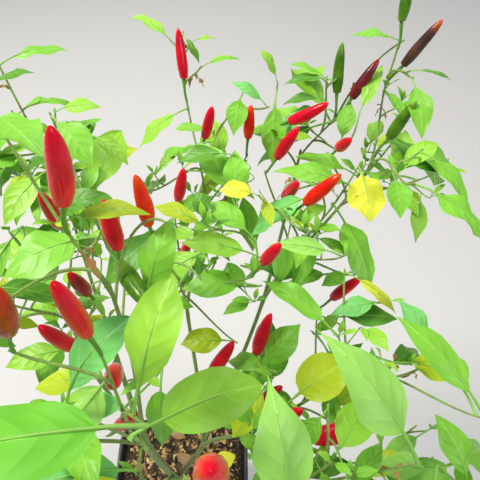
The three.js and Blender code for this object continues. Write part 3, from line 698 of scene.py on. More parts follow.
def placeOf(tree, stretch=(1, 1, 1)):
    place = wire(tree, "ShaderNodeTexCoord").outputs["Object"]
    return wire(tree, "ShaderNodeMapping", {"Vector": place, "Scale": stretch}).outputs[0]


def bump(tree, height, strength, distance):
    values = {"Height": height, "Strength": strength, "Distance": distance}
    return wire(tree, "ShaderNodeBump", values).outputs[0]


def newTree(name, kind, takes, gives):
    # Takes and gives hold the kind of each socket by its name.
    tree = bpy.data.node_groups.new(name, kind)
    for way, sockets in (("INPUT", takes), ("OUTPUT", gives)):
        for socketName, socketKind in sockets.items():
            tree.interface.new_socket(socketName, in_out=way, socket_type="NodeSocket" + socketKind)
    return tree, tree.nodes.new("NodeGroupInput").outputs


# The tube tree turns polylines with a girth at each point into closed, slightly uneven tubes.
def buildTubeTree():
    takes = {"Geometry": "Geometry", "Sides": "Int", "Relief": "Float", "Grain": "Float", "Stretch": "Vector",
             "Finish": "Material"}
    tree, given = newTree("tubesAlongLines", "GeometryNodeTree", takes, {"Geometry": "Geometry"})
    girth = wire(tree, "GeometryNodeInputNamedAttribute", {"Name": "girth"}, data_type="FLOAT").outputs[0]
    curve = wire(tree, "GeometryNodeMeshToCurve", {0: given["Geometry"]}).outputs[0]
    along = wire(tree, "GeometryNodeSplineParameter").outputs["Factor"]
    marked = wire(tree, "GeometryNodeStoreNamedAttribute", {0: curve, "Name": "along", "Value": along},
                  data_type="FLOAT", domain="POINT").outputs[0]
    ring = wire(tree, "GeometryNodeCurvePrimitiveCircle", {"Resolution": given["Sides"], "Radius": 1.0})
    values = {"Curve": marked, "Profile Curve": ring.outputs[0], "Scale": girth, "Fill Caps": True}
    tube = wire(tree, "GeometryNodeCurveToMesh", values).outputs[0]
    place = wire(tree, "GeometryNodeInputPosition").outputs[0]
    uneven = noise(tree, vectorCalc(tree, "MULTIPLY", place, given["Stretch"]), given["Grain"], 3.0)
    swell = calc(tree, "MULTIPLY", calc(tree, "SUBTRACT", uneven, 0.5), given["Relief"])
    swell = calc(tree, "MULTIPLY", swell, girth)
    normal = wire(tree, "GeometryNodeInputNormal").outputs[0]
    push = wire(tree, "ShaderNodeVectorMath", {0: normal, 3: swell}, operation="SCALE").outputs[0]
    shaped = wire(tree, "GeometryNodeSetPosition", {"Geometry": tube, "Offset": push}).outputs[0]
    smooth = wire(tree, "GeometryNodeSetShadeSmooth", {0: shaped, "Shade Smooth": True}).outputs[0]
    done = wire(tree, "GeometryNodeSetMaterial", {0: smooth, "Material": given["Finish"]}).outputs[0]
    wire(tree, "NodeGroupOutput", {0: done})
    return tree


def newObject(name, mesh):
    thing = bpy.data.objects.new(name, mesh)
    bpy.context.scene.collection.objects.link(thing)
    return thing


def meshFrom(name, spots, faces, edges=()):
    mesh = bpy.data.meshes.new(name)
    mesh.from_pydata(spots, edges, faces)
    mesh.update()
    return mesh


def runTree(thing, tree, values):
    # Evaluate the tree once and keep its result as a plain mesh.
    modifier = thing.modifiers.new("shape", "NODES")
    modifier.node_group = tree
    for item in tree.interface.items_tree:
        if item.in_out == "INPUT" and item.name in values:
            modifier[item.identifier] = values[item.name]
    seen = bpy.context.evaluated_depsgraph_get()
    seen.update()
    shaped = bpy.data.meshes.new_from_object(thing.evaluated_get(seen), depsgraph=seen)
    thing.modifiers.remove(modifier)
    thing.data = shaped
    return thing


tubeTree = buildTubeTree()


def drawTubes(name, tubes, finish, sides, relief=0.0, grain=200.0, stretch=(1, 1, 1)):
    # Each tube is its points in millimetres and a girth in millimetres for each point.
    spots, girths, edges = [], [], []
    for points, girth in tubes:
        first = len(spots)
        spots += [tuple(point * mm) for point in points]
        girths += [value * mm for value in girth]
        edges += [(first + i, first + i + 1) for i in range(len(points) - 1)]
    mesh = meshFrom(name, spots, [], edges)
    mesh.attributes.new("girth", "FLOAT", "POINT").data.foreach_set("value", girths)
    values = {"Sides": sides, "Relief": relief, "Grain": grain, "Stretch": stretch, "Finish": finish}
    return runTree(newObject(name, mesh), tubeTree, values)


def settle(thing, slotName, *nodes):
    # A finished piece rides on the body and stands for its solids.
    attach(thing, body)
    if nodes:
        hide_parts(*nodes)
    return thing


# Wood: bark on the trunk and lower limbs, green stems above.
bark = {"sides": 18, "steps": 28, "relief": 0.34, "grain": 420.0, "stretch": (1, 1, 0.16), "swell": 0.22,
        "swellReach": 9, "bareFoot": 0.5}
# A tube's end is closed by rings this far past it and this wide, as shares of its girth.
tubeDome = [(0.5, 0.86), (0.85, 0.5), (1.0, 0.12)]
# In a finish, a noise is its scale, detail and roughness, and a bump is its strength and depth.
barkFinish = {"rough": 0.6, "stretch": (1, 1, 0.12), "grain": (900.0, 4.0, 0.6), "patches": (60.0, 3.0),
              "drift": 0.16, "fade": (0.26, 0.42), "corkEdges": (0.35, 0.65), "greenEdges": (0.4, 0.75),
              "youngEdges": (0.4, 0.7), "bump": (0.35, 0.0006)}
barkColours = {"cork": rgb(156, 136, 98), "streak": rgb(96, 80, 56), "green": rgb(118, 146, 66),
               "pale": rgb(172, 188, 118), "young": rgb(156, 200, 88)}


def woodMaterial(name, young):
    material, tree, shader = startMaterial(name, Roughness=barkFinish["rough"])
    grain = noise(tree, placeOf(tree, barkFinish["stretch"]), *barkFinish["grain"])
    patches = noise(tree, placeOf(tree), *barkFinish["patches"])
    place = wire(tree, "ShaderNodeTexCoord").outputs["Object"]
    height = wire(tree, "ShaderNodeSeparateXYZ", {0: place}).outputs[2]
    drift = calc(tree, "MULTIPLY", calc(tree, "SUBTRACT", patches, 0.5), barkFinish["drift"])
    height = calc(tree, "ADD", height, drift)
    corky, fresh = ramp(tree, grain, *barkFinish["corkEdges"]), ramp(tree, grain, *barkFinish["greenEdges"])
    corky = blend(tree, corky, barkColours["streak"], barkColours["cork"])
    fresh = blend(tree, fresh, barkColours["green"], barkColours["pale"])
    if young:
        fresh = blend(tree, ramp(tree, patches, *barkFinish["youngEdges"]), fresh, barkColours["young"])
    colour = blend(tree, ramp(tree, height, *barkFinish["fade"]), corky, fresh)
    tree.links.new(colour, shader.inputs["Base Color"])
    tree.links.new(bump(tree, grain, *barkFinish["bump"]), shader.inputs["Normal"])
    return material


def limbTube(limb):
    length = lengthOf(limb.line)
    shares = np.linspace(0, 1, bark["steps"])
    girths = []
    for share in shares:
        flare = 1 + (wood["flare"] - 1) * (1 - share) ** wood["flarePower"] if limb.parent is None else 1
        ends = min(share, 1 - share) * length / bark["swellReach"]
        swollen = limb.parent is not None or share > bark["bareFoot"]
        swell = 1 + bark["swell"] * math.exp(-ends * ends) * swollen
        girths.append((limb.foot + (limb.end - limb.foot) * share) * flare * swell)
    return rounded(pointsOn(limb.line, shares), girths)


def rounded(points, girths):
    # The end of a tube is drawn in to a dome.
    along, girth = unit(points[-1] - points[-2]), girths[-1]
    points = np.vstack([points] + [points[-1:] + along * girth * far for far, wide in tubeDome])
    return points, list(girths) + [girth * wide for far, wide in tubeDome]


limbTubes = [limbTube(limb) for limb in grownLimbs.values()]
stems = drawTubes("stems", limbTubes, woodMaterial("barkAndStem", False), bark["sides"], bark["relief"],
                  bark["grain"], bark["stretch"])
settle(stems, "stem", *limbs)

twigLook = {"sides": 8, "relief": 0.25, "grain": 500.0, "stretch": (1, 1, 0.3), "steps": 14,
            "stem": (1.9, 1.3), "twig": (1.2, 0.8), "shoot": (0.85, 0.6)}


def rerooted(line, host):
    # Growth starts on the smooth centre line of the wood that carries it.
    shift = pointOn(*host) - line[0]
    moved = line.copy()
    moved[0] += shift
    moved[1] += shift
    return moved


def woodTube(line, foot, end):
    shares = np.linspace(0, 1, twigLook["steps"])
    return rounded(pointsOn(line, shares), [foot + (end - foot) * share for share in shares])


twigTubes = []
for mass in grownMasses:
    twigTubes.append(woodTube(mass.line, *twigLook["stem"]))
    twigTubes += [woodTube(rerooted(twig.line, twig.foot), *twigLook["twig"]) for twig in mass.twigs]
    twigTubes += [woodTube(line, *twigLook["shoot"]) for line in mass.shootlets]
twigs = drawTubes("twigs", twigTubes, woodMaterial("youngTwig", True), twigLook["sides"], twigLook["relief"],
                  twigLook["grain"], twigLook["stretch"])
settle(twigs, "stem", *masses)
print("wood drawn:", len(limbTubes), "limbs,", len(twigTubes), "twigs")

# Leaves
leafLook = {"fold": 0.34, "folds": (0.4, 1.3), "foldFade": 0.4, "curl": 0.26, "curls": (0.6, 1.4),
            "wave": 0.1, "waveSizes": (0.4, 1.3), "waves": 1.8, "waveTurn": 0.9, "waveFull": 1.5,
            "droop": 0.3, "droops": (0.2, 1.2), "sagFrom": 0.35, "roll": 16, "small": 40,
            "base": (0.62, 0.92), "point": (0.78, 1.1), "drawn": 0.5, "drawnFrom": 0.62, "drawnPower": 1.4,
            "wing": (0.08, 0.04), "wingReach": 0.2, "wingEnd": 0.3, "narrowest": 0.01}
petioleLook = {"sides": 5, "foot": 1.0, "end": 0.7, "steps": 6, "ribFrom": 0.34, "ribReach": 0.78,
               "ribSteps": 4, "ribEnd": 0.2, "shift": 0.15, "below": 0.25, "leastSize": 0.5,
               "usualLength": 52, "colour": rgb(150, 210, 88), "rough": 0.45, "dryRough": 0.8}
leafFinish = {"rough": 0.4, "shine": 0.34, "patches": (38.0, 3.0), "patchEdges": (0.3, 0.7), "dark": 0.72,
              "spots": (150.0, 2.0), "spotEdges": (0.72, 0.78), "behind": 0.35, "grain": (700.0, 2.0),
              "grainHeight": 0.12, "bump": (0.32, 0.0009)}
veinLook = {"pairs": 5.0, "slant": 1.25, "sweep": 1.25, "stagger": 0.4, "fade": (0.95, 0.55),
            "lateral": (0.44, 0.5), "lateralShare": 0.36, "midrib": (0.09, 0.03), "midribShare": 0.85,
            "dome": (0.5, 0.12), "valley": (0.3, 0.0), "valleyDepth": 0.35}
# An outline is how slowly a blade widens from its base and from its tip, and how far that is drawn in.
outlines = {"broad": (0.5, 0.62, 0.25), "wedge": (1.05, 0.74, 0.3)}
# A grid is where its rows lie, from the base at 0 to the tip at 1, and how many points a row has.
leafGrids = {"large": ((-0.2, -0.08, 0, 0.05, 0.12, 0.21, 0.32, 0.44, 0.56, 0.68, 0.79, 0.88, 0.95, 1), 7),
             "small": ((-0.05, 0.02, 0.12, 0.26, 0.42, 0.58, 0.74, 0.88, 1), 5)}
# Shares say how often the draw gives a tint to a large leaf and to a small one. A tint without them is
# only for leaves that name it.
tints = {
    "fresh": {"blade": rgb(118, 200, 36), "vein": rgb(166, 228, 90), "share": 5, "tipShare": 4},
    "bright": {"blade": rgb(146, 216, 44), "vein": rgb(184, 234, 92), "share": 3, "tipShare": 5},
    "deep": {"blade": rgb(80, 150, 28), "vein": rgb(126, 188, 70), "share": 4, "tipShare": 1},
    "lush": {"blade": rgb(100, 198, 34), "vein": rgb(150, 224, 84)},
    "cool": {"blade": rgb(112, 216, 92), "vein": rgb(164, 234, 142), "share": 1},
    "pale": {"blade": rgb(144, 218, 76), "vein": rgb(190, 238, 128), "share": 1, "tipShare": 1,
             "point": (1.4, 1.7)},
    "lime": {"blade": rgb(180, 212, 16), "vein": rgb(210, 230, 66), "share": 1, "tipShare": 1},
    "yellow": {"blade": rgb(226, 232, 26), "vein": rgb(238, 238, 96), "dark": 0.9,
               "spots": rgb(160, 108, 40)},
    "withered": {"blade": rgb(206, 140, 70), "vein": rgb(226, 186, 120), "dark": 0.5, "crumple": 4},
}


def buildVeins():
    # Vein lines on a blade whose own map runs 0 to 1 across and 0 to 1 from base to tip.
    takes, gives = {"Pairs": "Float", "Slant": "Float"}, {"Mask": "Float", "Height": "Float"}
    tree, given = newTree("leafVeins", "ShaderNodeTree", takes, gives)
    uv = wire(tree, "ShaderNodeUVMap", uv_map="blade").outputs[0]
    split = wire(tree, "ShaderNodeSeparateXYZ", {0: uv}).outputs
    across = calc(tree, "SUBTRACT", calc(tree, "MULTIPLY", split[0], 2.0), 1.0)
    out = calc(tree, "ABSOLUTE", across)
    turn = calc(tree, "MULTIPLY", calc(tree, "GREATER_THAN", across, 0.0), veinLook["stagger"])
    bent = calc(tree, "MULTIPLY", calc(tree, "POWER", out, veinLook["sweep"]), given["Slant"])
    phase = calc(tree, "SUBTRACT", calc(tree, "MULTIPLY", split[1], given["Pairs"]), bent)
    phase = calc(tree, "FRACT", calc(tree, "ADD", phase, turn))
    far = calc(tree, "ABSOLUTE", calc(tree, "SUBTRACT", phase, 0.5))
    fade = ramp(tree, out, *veinLook["fade"])
    lateral = calc(tree, "MULTIPLY", ramp(tree, far, *veinLook["lateral"]), fade)
    lateral = calc(tree, "MULTIPLY", lateral, veinLook["lateralShare"])
    midrib = calc(tree, "MULTIPLY", ramp(tree, out, *veinLook["midrib"]), veinLook["midribShare"])
    dome = calc(tree, "MULTIPLY", ramp(tree, far, *veinLook["dome"]), fade)
    valley = calc(tree, "MULTIPLY", ramp(tree, out, *veinLook["valley"]), veinLook["valleyDepth"])
    mask = calc(tree, "MAXIMUM", lateral, midrib)
    wire(tree, "NodeGroupOutput", {0: mask, 1: calc(tree, "SUBTRACT", dome, valley)})
    return tree


veinTree = buildVeins()


def leafMaterial(name, look):
    values = {"Roughness": leafFinish["rough"], "Specular IOR Level": leafFinish["shine"]}
    material, tree, shader = startMaterial(name, **values)
    veins = wire(tree, "ShaderNodeGroup", node_tree=veinTree)
    veins.inputs["Pairs"].default_value = veinLook["pairs"]
    veins.inputs["Slant"].default_value = veinLook["slant"]
    patches = ramp(tree, noise(tree, placeOf(tree), *leafFinish["patches"]), *leafFinish["patchEdges"])
    tone = wire(tree, "ShaderNodeAttribute", attribute_name="tone").outputs["Fac"]
    patches = calc(tree, "MULTIPLY", calc(tree, "ADD", patches, tone), 0.5)
    dark = tuple(part * look.get("dark", leafFinish["dark"]) for part in look["blade"][:3]) + (1.0,)
    colour = blend(tree, patches, dark, look["blade"])
    colour = blend(tree, veins.outputs[0], colour, look["vein"])
    if "spots" in look:
        spots = ramp(tree, noise(tree, placeOf(tree), *leafFinish["spots"]), *leafFinish["spotEdges"])
        colour = blend(tree, spots, colour, look["spots"])
    behind = wire(tree, "ShaderNodeNewGeometry").outputs["Backfacing"]
    colour = blend(tree, calc(tree, "MULTIPLY", behind, leafFinish["behind"]), colour, look["vein"])
    tree.links.new(colour, shader.inputs["Base Color"])
    grain = noise(tree, placeOf(tree), *leafFinish["grain"])
    height = calc(tree, "ADD", veins.outputs[1], calc(tree, "MULTIPLY", grain, leafFinish["grainHeight"]))
    tree.links.new(bump(tree, height, *leafFinish["bump"]), shader.inputs["Normal"])
    return material


def bladeWidth(leaf, share):
    # Wedge-shaped at the base, drawn out to a narrow tip, and winged a little down the petiole.
    base, point, drawn = leaf.outline
    widest = base / (base + point)
    peak = widest ** base * (1 - widest) ** point
    broad = share ** base * (1 - share) ** point / peak if share > 0 else 0.0
    tipward = max(0, (share - leafLook["drawnFrom"]) / (1 - leafLook["drawnFrom"]))
    broad *= 1 - drawn * tipward ** leafLook["drawnPower"]
    full, lost = leafLook["wing"]
    wing = full + lost * share / leafLook["wingReach"] if share < 0 else full * (1 - share)
    return max(broad, wing if share < leafLook["wingEnd"] else 0, leafLook["narrowest"])


def bladeGrid(leaf, draw):
    rolled = math.radians(draw(-leafLook["roll"], leafLook["roll"]))
    crumple = tints[leaf.tint].get("crumple", 1)
    phase, wave = draw(0, fullTurn), leafLook["wave"] * draw(*leafLook["waveSizes"]) * crumple
    fold, curl = leafLook["fold"] * draw(*leafLook["folds"]), leafLook["curl"] * draw(*leafLook["curls"])
    leaf.droop = leafLook["droop"] * draw(*leafLook["droops"]) * crumple
    drawnOut = tints[leaf.tint].get("point", leafLook["point"])
    drawn, leaf.tone = (draw(*leafLook["base"]), draw(*drawnOut), leafLook["drawn"]), draw(0, 1)
    leaf.outline = outlines[leaf.outline[0]] if leaf.outline else drawn
    leaf.shares, columns = leafGrids["small" if leaf.length < leafLook["small"] else "large"]
    side = sideOf(leaf.bearing)
    rows = []
    for share in leaf.shares:
        wide = bladeWidth(leaf, share)
        whole = leafRule["petiole"] + (1 - leafRule["petiole"]) * share
        at, along = pointOn(leaf.line, whole), tangentOn(leaf.line, whole)
        lift = np.cross(side, along)
        over = side * math.cos(rolled) + lift * math.sin(rolled)
        lift = np.cross(over, along)
        half = leaf.width / 2 * wide
        at = at - upward * sagOf(leaf, share)
        for across in np.linspace(-1, 1, columns):
            far = abs(across)
            rise = half * far * (fold * (1 - leafLook["foldFade"] * share) - curl * far)
            turn = phase + across * leafLook["waveTurn"] + fullTurn * leafLook["waves"] * share
            rise += leaf.width * wave * far * far * math.sin(turn) * min(1.0, wide * leafLook["waveFull"])
            rows.append(at + over * across * half + lift * rise)
    return np.array(rows).reshape(-1, columns, 3)


def sagOf(leaf, share):
    # How far a blade's tip hangs, share being the place from its base to its tip.
    return leaf.droop * leaf.length * max(0.0, share - leafLook["sagFrom"]) ** 2


def drawBlades(name, leaves, finish):
    spots, faces, places, tones = [], [], [], []
    for leaf in leaves:
        rows, columns = leaf.grid.shape[:2]
        first = len(spots)
        spots += [tuple(spot) for spot in leaf.grid.reshape(-1, 3) * mm]
        places += [(j / (columns - 1), share) for share in leaf.shares for j in range(columns)]
        tones += [leaf.tone] * (rows * columns)
        starts = [first + i * columns + j for i in range(rows - 1) for j in range(columns - 1)]
        faces += [(corner, corner + 1, corner + columns + 1, corner + columns) for corner in starts]
    mesh = meshFrom(name, spots, faces)
    layer = mesh.uv_layers.new(name="blade")
    corners = np.zeros(len(mesh.loops), int)
    mesh.loops.foreach_get("vertex_index", corners)
    layer.data.foreach_set("uv", np.array(places)[corners].ravel())
    mesh.attributes.new("tone", "FLOAT", "POINT").data.foreach_set("value", tones)
    mesh.polygons.foreach_set("use_smooth", [True] * len(mesh.polygons))
    mesh.materials.append(finish)
    return newObject(name, mesh)


def petioleTube(leaf):
    # The stalk goes on under the blade as its midrib.
    stalk, ribReach = leafRule["petiole"], petioleLook["ribReach"]
    foot, end = petioleLook["foot"], petioleLook["end"]
    ribShares = np.linspace(petioleLook["ribFrom"], ribReach, petioleLook["ribSteps"])
    shift = pointOn(*leaf.host) - leaf.line[0]
    side = sideOf(leaf.bearing)
    points, girths = [], []
    size = max(petioleLook["leastSize"], leaf.length / petioleLook["usualLength"])
    for share in np.concatenate([np.linspace(0, stalk, petioleLook["steps"]), ribShares]):
        beyond = max(0.0, share - stalk)
        girth = foot + (end - foot) * min(1, share / stalk)
        girth += (petioleLook["ribEnd"] - end) * beyond / (ribReach - stalk)
        below = np.cross(side, tangentOn(leaf.line, share)) * girth * size * petioleLook["below"]
        spot = pointOn(leaf.line, share) + shift * max(0.0, 1 - share / petioleLook["shift"])
        points.append(spot - below - upward * sagOf(leaf, beyond / (1 - stalk)))
        girths.append(girth * size)
    return np.array(points), girths


def dealt(looks, part):
    # A look's name as often as its share says, for a draw to pick from.
    return [name for name, look in looks.items() for i in range(look.get(part, 0))]


leafSeeds = {"tint": 77, "shape": 91}
tintDraw, leafDraw = draws(leafSeeds["tint"]), draws(leafSeeds["shape"])
sprays = {part: dealt(tints, part) for part in ("share", "tipShare")}
for mass in grownMasses:
    for leaf in mass.leaves:
        choice = sprays["tipShare" if leaf.length < leafLook["small"] else "share"]
        spray = choice[int(tintDraw(0, len(choice)))]
        leaf.tint = leaf.tint or spray
        leaf.grid = bladeGrid(leaf, leafDraw)
for tint, look in tints.items():
    chosen = [leaf for mass in grownMasses for leaf in mass.leaves if leaf.tint == tint]
    blades = drawBlades("leaves_" + tint, chosen, leafMaterial("leaf_" + tint, look))
    settle(blades, "foliage", *masses)
allLeaves = [leaf for mass in grownMasses for leaf in mass.leaves]
freshStalk = plainMaterial("petiole", petioleLook["colour"], petioleLook["rough"])
dryStalk = plainMaterial("dryStalk", tints["withered"]["blade"], petioleLook["dryRough"])
for name, dry, finish in (("petioles", False, freshStalk), ("dry_stalks", True, dryStalk)):
    chosen = [petioleTube(leaf) for leaf in allLeaves if (leaf.tint == "withered") == dry]
    settle(drawTubes(name, chosen, finish, petioleLook["sides"]), "foliage")
print("leaves drawn:", len(allLeaves))

# Fruits: glossy pods on stalks that thicken into a green cap.
fruitLook = {"seed": 63, "sides": 14, "rings": 16, "ringPower": 1.5, "relief": 0.22, "grain": 55.0,
             "bend": 0.03, "bendRise": 10, "taper": (0, 0.14), "bluntness": (3.4, 0.56), "shoulder": 0.68,
             "shoulderReach": 0.3, "tipGirth": 0.15}
# The cup is how far each ring lies past the fruit's base and its share of the fruit's half width.
stalkLook = {"sides": 7, "steps": 9, "foot": 1.2, "end": 2.1, "power": 4, "leave": 0.4, "stray": 3,
             "arrive": 0.3, "cup": [(-1.2, 0.34), (-0.2, 0.5), (0.8, 0.62), (2.4, 0.72)], "relief": 0.1,
             "grain": 300.0, "colour": rgb(96, 150, 48), "rough": 0.45}
fruitFinish = {"rough": 0.35, "shine": 0.1, "coat": 0.5, "coatRough": 0.07, "patches": (70.0, 2.0),
               "patchEdges": (0.35, 0.7), "tipEdges": (0.72, 0.96)}
fruitKinds = {
    "red": {"skin": rgb(242, 0, 42), "shade": rgb(208, 0, 36), "tip": rgb(240, 4, 38), "share": 7},
    "dark": {"skin": rgb(190, 4, 34), "shade": rgb(142, 4, 26), "tip": rgb(208, 4, 32), "share": 2},
    "orange": {"skin": rgb(254, 44, 10), "shade": rgb(240, 26, 10), "tip": rgb(254, 76, 16), "share": 1},
    "rust": {"skin": rgb(196, 54, 20), "shade": rgb(146, 34, 14), "tip": rgb(210, 44, 20)},
    "green": {"skin": rgb(96, 146, 24), "shade": rgb(66, 112, 18), "tip": rgb(106, 152, 34), "share": 1},
    "purple": {"skin": rgb(92, 60, 46), "shade": rgb(70, 44, 38), "tip": rgb(206, 92, 30), "slim": 0.76},
    "plum": {"skin": rgb(128, 30, 40), "shade": rgb(84, 26, 34), "tip": rgb(160, 24, 30)},
}


def fruitMaterial(name, look):
    values = {"Roughness": fruitFinish["rough"], "Specular IOR Level": fruitFinish["shine"],
              "Coat Weight": fruitFinish["coat"], "Coat Roughness": fruitFinish["coatRough"]}
    material, tree, shader = startMaterial(name, **values)
    patches = ramp(tree, noise(tree, placeOf(tree), *fruitFinish["patches"]), *fruitFinish["patchEdges"])
    colour = blend(tree, patches, look["shade"], look["skin"])
    along = wire(tree, "ShaderNodeAttribute", attribute_name="along").outputs["Fac"]
    colour = blend(tree, ramp(tree, along, *fruitFinish["tipEdges"]), colour, look["tip"])
    tree.links.new(colour, shader.inputs["Base Color"])
    return material


def podTube(fruit, draw):
    axis = unit(fruit.tip - fruit.calyx)
    side = unit(np.cross(axis, heading(draw(-180, 180), fruitLook["bendRise"])))
    bend, taper = draw(-1, 1) * fruitLook["bend"] * fruit.length, draw(*fruitLook["taper"])
    full, close = fruitLook["bluntness"]
    points, girths = [], []
    for share in 1 - (1 - np.linspace(0, 1, fruitLook["rings"])) ** fruitLook["ringPower"]:
        bow = 4 * share * (1 - share) * bend
        points.append(fruit.calyx + axis * fruit.length * share + side * bow)
        swell = max(1 - share ** full, 0.0) ** close * (1 - taper * share)
        risen = math.sin(min(1.0, share / fruitLook["shoulderReach"]) * math.pi / 2)
        shoulder = fruitLook["shoulder"] + (1 - fruitLook["shoulder"]) * risen
        girths.append(max(fruit.width / 2 * swell * shoulder, fruitLook["tipGirth"]))
    return np.array(points), girths


def stalkTube(fruit, draw):
    start = pointOn(*fruit.host)
    axis = unit(fruit.tip - fruit.calyx)
    reach = float(np.linalg.norm(fruit.calyx - start))
    leave = unit(fruit.calyx - start) * reach * stalkLook["leave"]
    leave = leave + heading(draw(-180, 180), 0) * stalkLook["stray"]
    line = np.array((start, start + leave, fruit.calyx - axis * reach * stalkLook["arrive"], fruit.calyx))
    shares = np.linspace(0, 1, stalkLook["steps"])
    foot, end, cup = stalkLook["foot"], stalkLook["end"], stalkLook["cup"]
    girths = [foot + (end - foot) * share ** stalkLook["power"] for share in shares]
    points = np.vstack([pointsOn(line, shares)] + [[fruit.calyx + axis * far] for far, wide in cup])
    return points, girths + [fruit.width / 2 * wide for far, wide in cup]


fruitDraw = draws(fruitLook["seed"])
kindNames = dealt(fruitKinds, "share")
for mass in grownMasses:
    for fruit in mass.fruits:
        spare = kindNames[int(fruitDraw(0, len(kindNames)))]
        fruit.kind = fruit.kind or spare
        fruit.width *= fruitKinds[fruit.kind].get("slim", 1)
allFruits = [fruit for mass in grownMasses for fruit in mass.fruits]
for kind, look in fruitKinds.items():
    pods = [podTube(fruit, fruitDraw) for fruit in allFruits if fruit.kind == kind]
    piece = drawTubes("fruits_" + kind, pods, fruitMaterial("fruit_" + kind, look), fruitLook["sides"],
                      fruitLook["relief"], fruitLook["grain"])
    settle(piece, "fruit")
fruitStalk = plainMaterial("fruitStalk", stalkLook["colour"], stalkLook["rough"])
stalks = drawTubes("fruit_stalks", [stalkTube(fruit, fruitDraw) for fruit in allFruits], fruitStalk,
                   stalkLook["sides"], stalkLook["relief"], stalkLook["grain"])
settle(stalks, "foliage")
print("fruits drawn:", len(allFruits))

# Pot: one closed shell with a rolled lip.
potLook = {"perCorner": 9, "edge": 1.2, "leastCorner": 4, "scuffs": (40.0, 5.0, 0.65),
           "scuffEdges": (0.4, 0.8), "roughEdges": (0.3, 0.7, 0.34, 0.55), "grain": (900.0, 2.0),
           "bump": (0.15, 0.0003), "dark": rgb(40, 41, 43), "worn": rgb(66, 66, 66)}


def roundedRing(half, corner, height, perCorner):
    ring = []
    middle = (half - corner) * math.sqrt(2)
    for quarter in range(4):
        turn = quarter * math.pi / 2
        for i in range(perCorner):
            angle = turn + (i / (perCorner - 1)) * math.pi / 2
            ring.append((middle * math.cos(turn + math.pi / 4) + corner * math.cos(angle),
                         middle * math.sin(turn + math.pi / 4) + corner * math.sin(angle), height))
    return np.array(ring)


def narrowAt(height):
    return pot["draft"] + (1 - pot["draft"]) * height / pot["height"]


def potRing(inset, height):
    half = pot["side"] / 2 - pot["lipReach"] - inset
    corner = max(pot["corner"] - inset, potLook["leastCorner"])
    return roundedRing(half, corner, 0, potLook["perCorner"]) * narrowAt(height) + np.array((0, 0, height))


def facesRound(rings, around):
    # The sides between closed rings and a cap at both ends.
    faces = []
    for low in range(0, (rings - 1) * around, around):
        high = low + around
        for j in range(around):
            after = (j + 1) % around
            faces.append((low + j, low + after, high + after, high + j))
    faces.append(tuple(reversed(range(around))))
    faces.append(tuple((rings - 1) * around + j for j in range(around)))
    return faces


def lofted(name, rings, finish):
    spots = [tuple(spot * mm) for ring in rings for spot in ring]
    mesh = meshFrom(name, spots, facesRound(len(rings), len(rings[0])))
    mesh.polygons.foreach_set("use_smooth", [True] * len(mesh.polygons))
    mesh.materials.append(finish)
    return newObject(name, mesh)


top, lip, edge, wall = pot["height"], pot["lipReach"], potLook["edge"], pot["wall"]
under, arc = top - pot["lipHeight"], edge * 0.3
# The outline is how far in from the side and how high: up the outside, over the lip, down to the floor.
potProfile = [(5, 0), (edge, 0), (arc, 0.4), (0, edge), (0, 30), (0, 90), (0, 140), (0, under - 1.5),
              (0, under - 0.3), (-0.3, under), (-lip + 0.5, under), (-lip + 0.1, under + 0.2),
              (-lip, under + 0.7), (-lip, top - edge), (-lip + arc, top - arc), (-lip + edge, top),
              (wall - edge, top), (wall - arc, top - arc), (wall, top - edge), (wall, top - 12),
              (wall, top - 60), (wall, pot["floor"] + 1), (wall + 1, pot["floor"])]


def potMaterial():
    material, tree, shader = startMaterial("potPlastic")
    scuffs = noise(tree, placeOf(tree), *potLook["scuffs"])
    colour = blend(tree, ramp(tree, scuffs, *potLook["scuffEdges"]), potLook["dark"], potLook["worn"])
    grain = noise(tree, placeOf(tree), *potLook["grain"])
    tree.links.new(colour, shader.inputs["Base Color"])
    tree.links.new(ramp(tree, scuffs, *potLook["roughEdges"]), shader.inputs["Roughness"])
    tree.links.new(bump(tree, grain, *potLook["bump"]), shader.inputs["Normal"])
    return material


potShell = lofted("pot_shell", [potRing(inset, height) for inset, height in potProfile], potMaterial())
settle(potShell, "pot", "pot")

# Soil: an uneven top, with chips and grit strewn over it.
soilLook = {"rings": 34, "perCorner": 34, "rough": 1.04, "mound": 3.5, "moundReach": 34, "sink": 3.0,
            "sinkPower": 8, "middle": 0.004, "edgeAir": 0.05, "skirt": 6, "foot": 0.9, "footDepth": 25}
# Each wave in the soil is its rate, its bearing, its lag and its size.
soilWaves = [(0.11, 0.3, 4.5, 1.0), (0.19, 1.1, -3.5, 0.7), (0.31, -0.8, 3.0, 0.5), (0.53, 0.5, 6.5, 0.35)]
soilFinish = {"rough": 0.95, "crumbs": (260.0, 6.0, 0.7), "crumbEdges": (0.35, 0.7), "bump": (0.9, 0.003),
              "dark": rgb(26, 20, 16), "light": rgb(78, 62, 46)}


def soilBumps(x, y):
    total = sum(size * math.sin(rate * (x * math.cos(turn) + y * math.sin(turn)) + lag)
                for rate, turn, lag, size in soilWaves)
    near = math.exp(-(x * x + y * y) / soilLook["moundReach"] ** 2)
    return total * soilLook["rough"] + soilLook["mound"] * near


def soilEdge():
    half = (pot["side"] / 2 - lip - wall - soilLook["edgeAir"]) * narrowAt(soilTop)
    return half, (pot["corner"] - wall) * narrowAt(soilTop)


def soilRings():
    half, corner = soilEdge()
    ring = roundedRing(half, corner, 0, soilLook["perCorner"])
    rings = []
    for i in range(soilLook["rings"] + 1):
        share = max(1 - i / soilLook["rings"], soilLook["middle"])
        rows = ring * share
        for row in rows:
            row[2] = soilTop + soilBumps(row[0], row[1]) - soilLook["sink"] * share ** soilLook["sinkPower"]
        rings.append(rows)
    foot = ring * soilLook["foot"] + upward * (soilTop - soilLook["footDepth"])
    return [foot, rings[0] - upward * soilLook["skirt"]] + rings


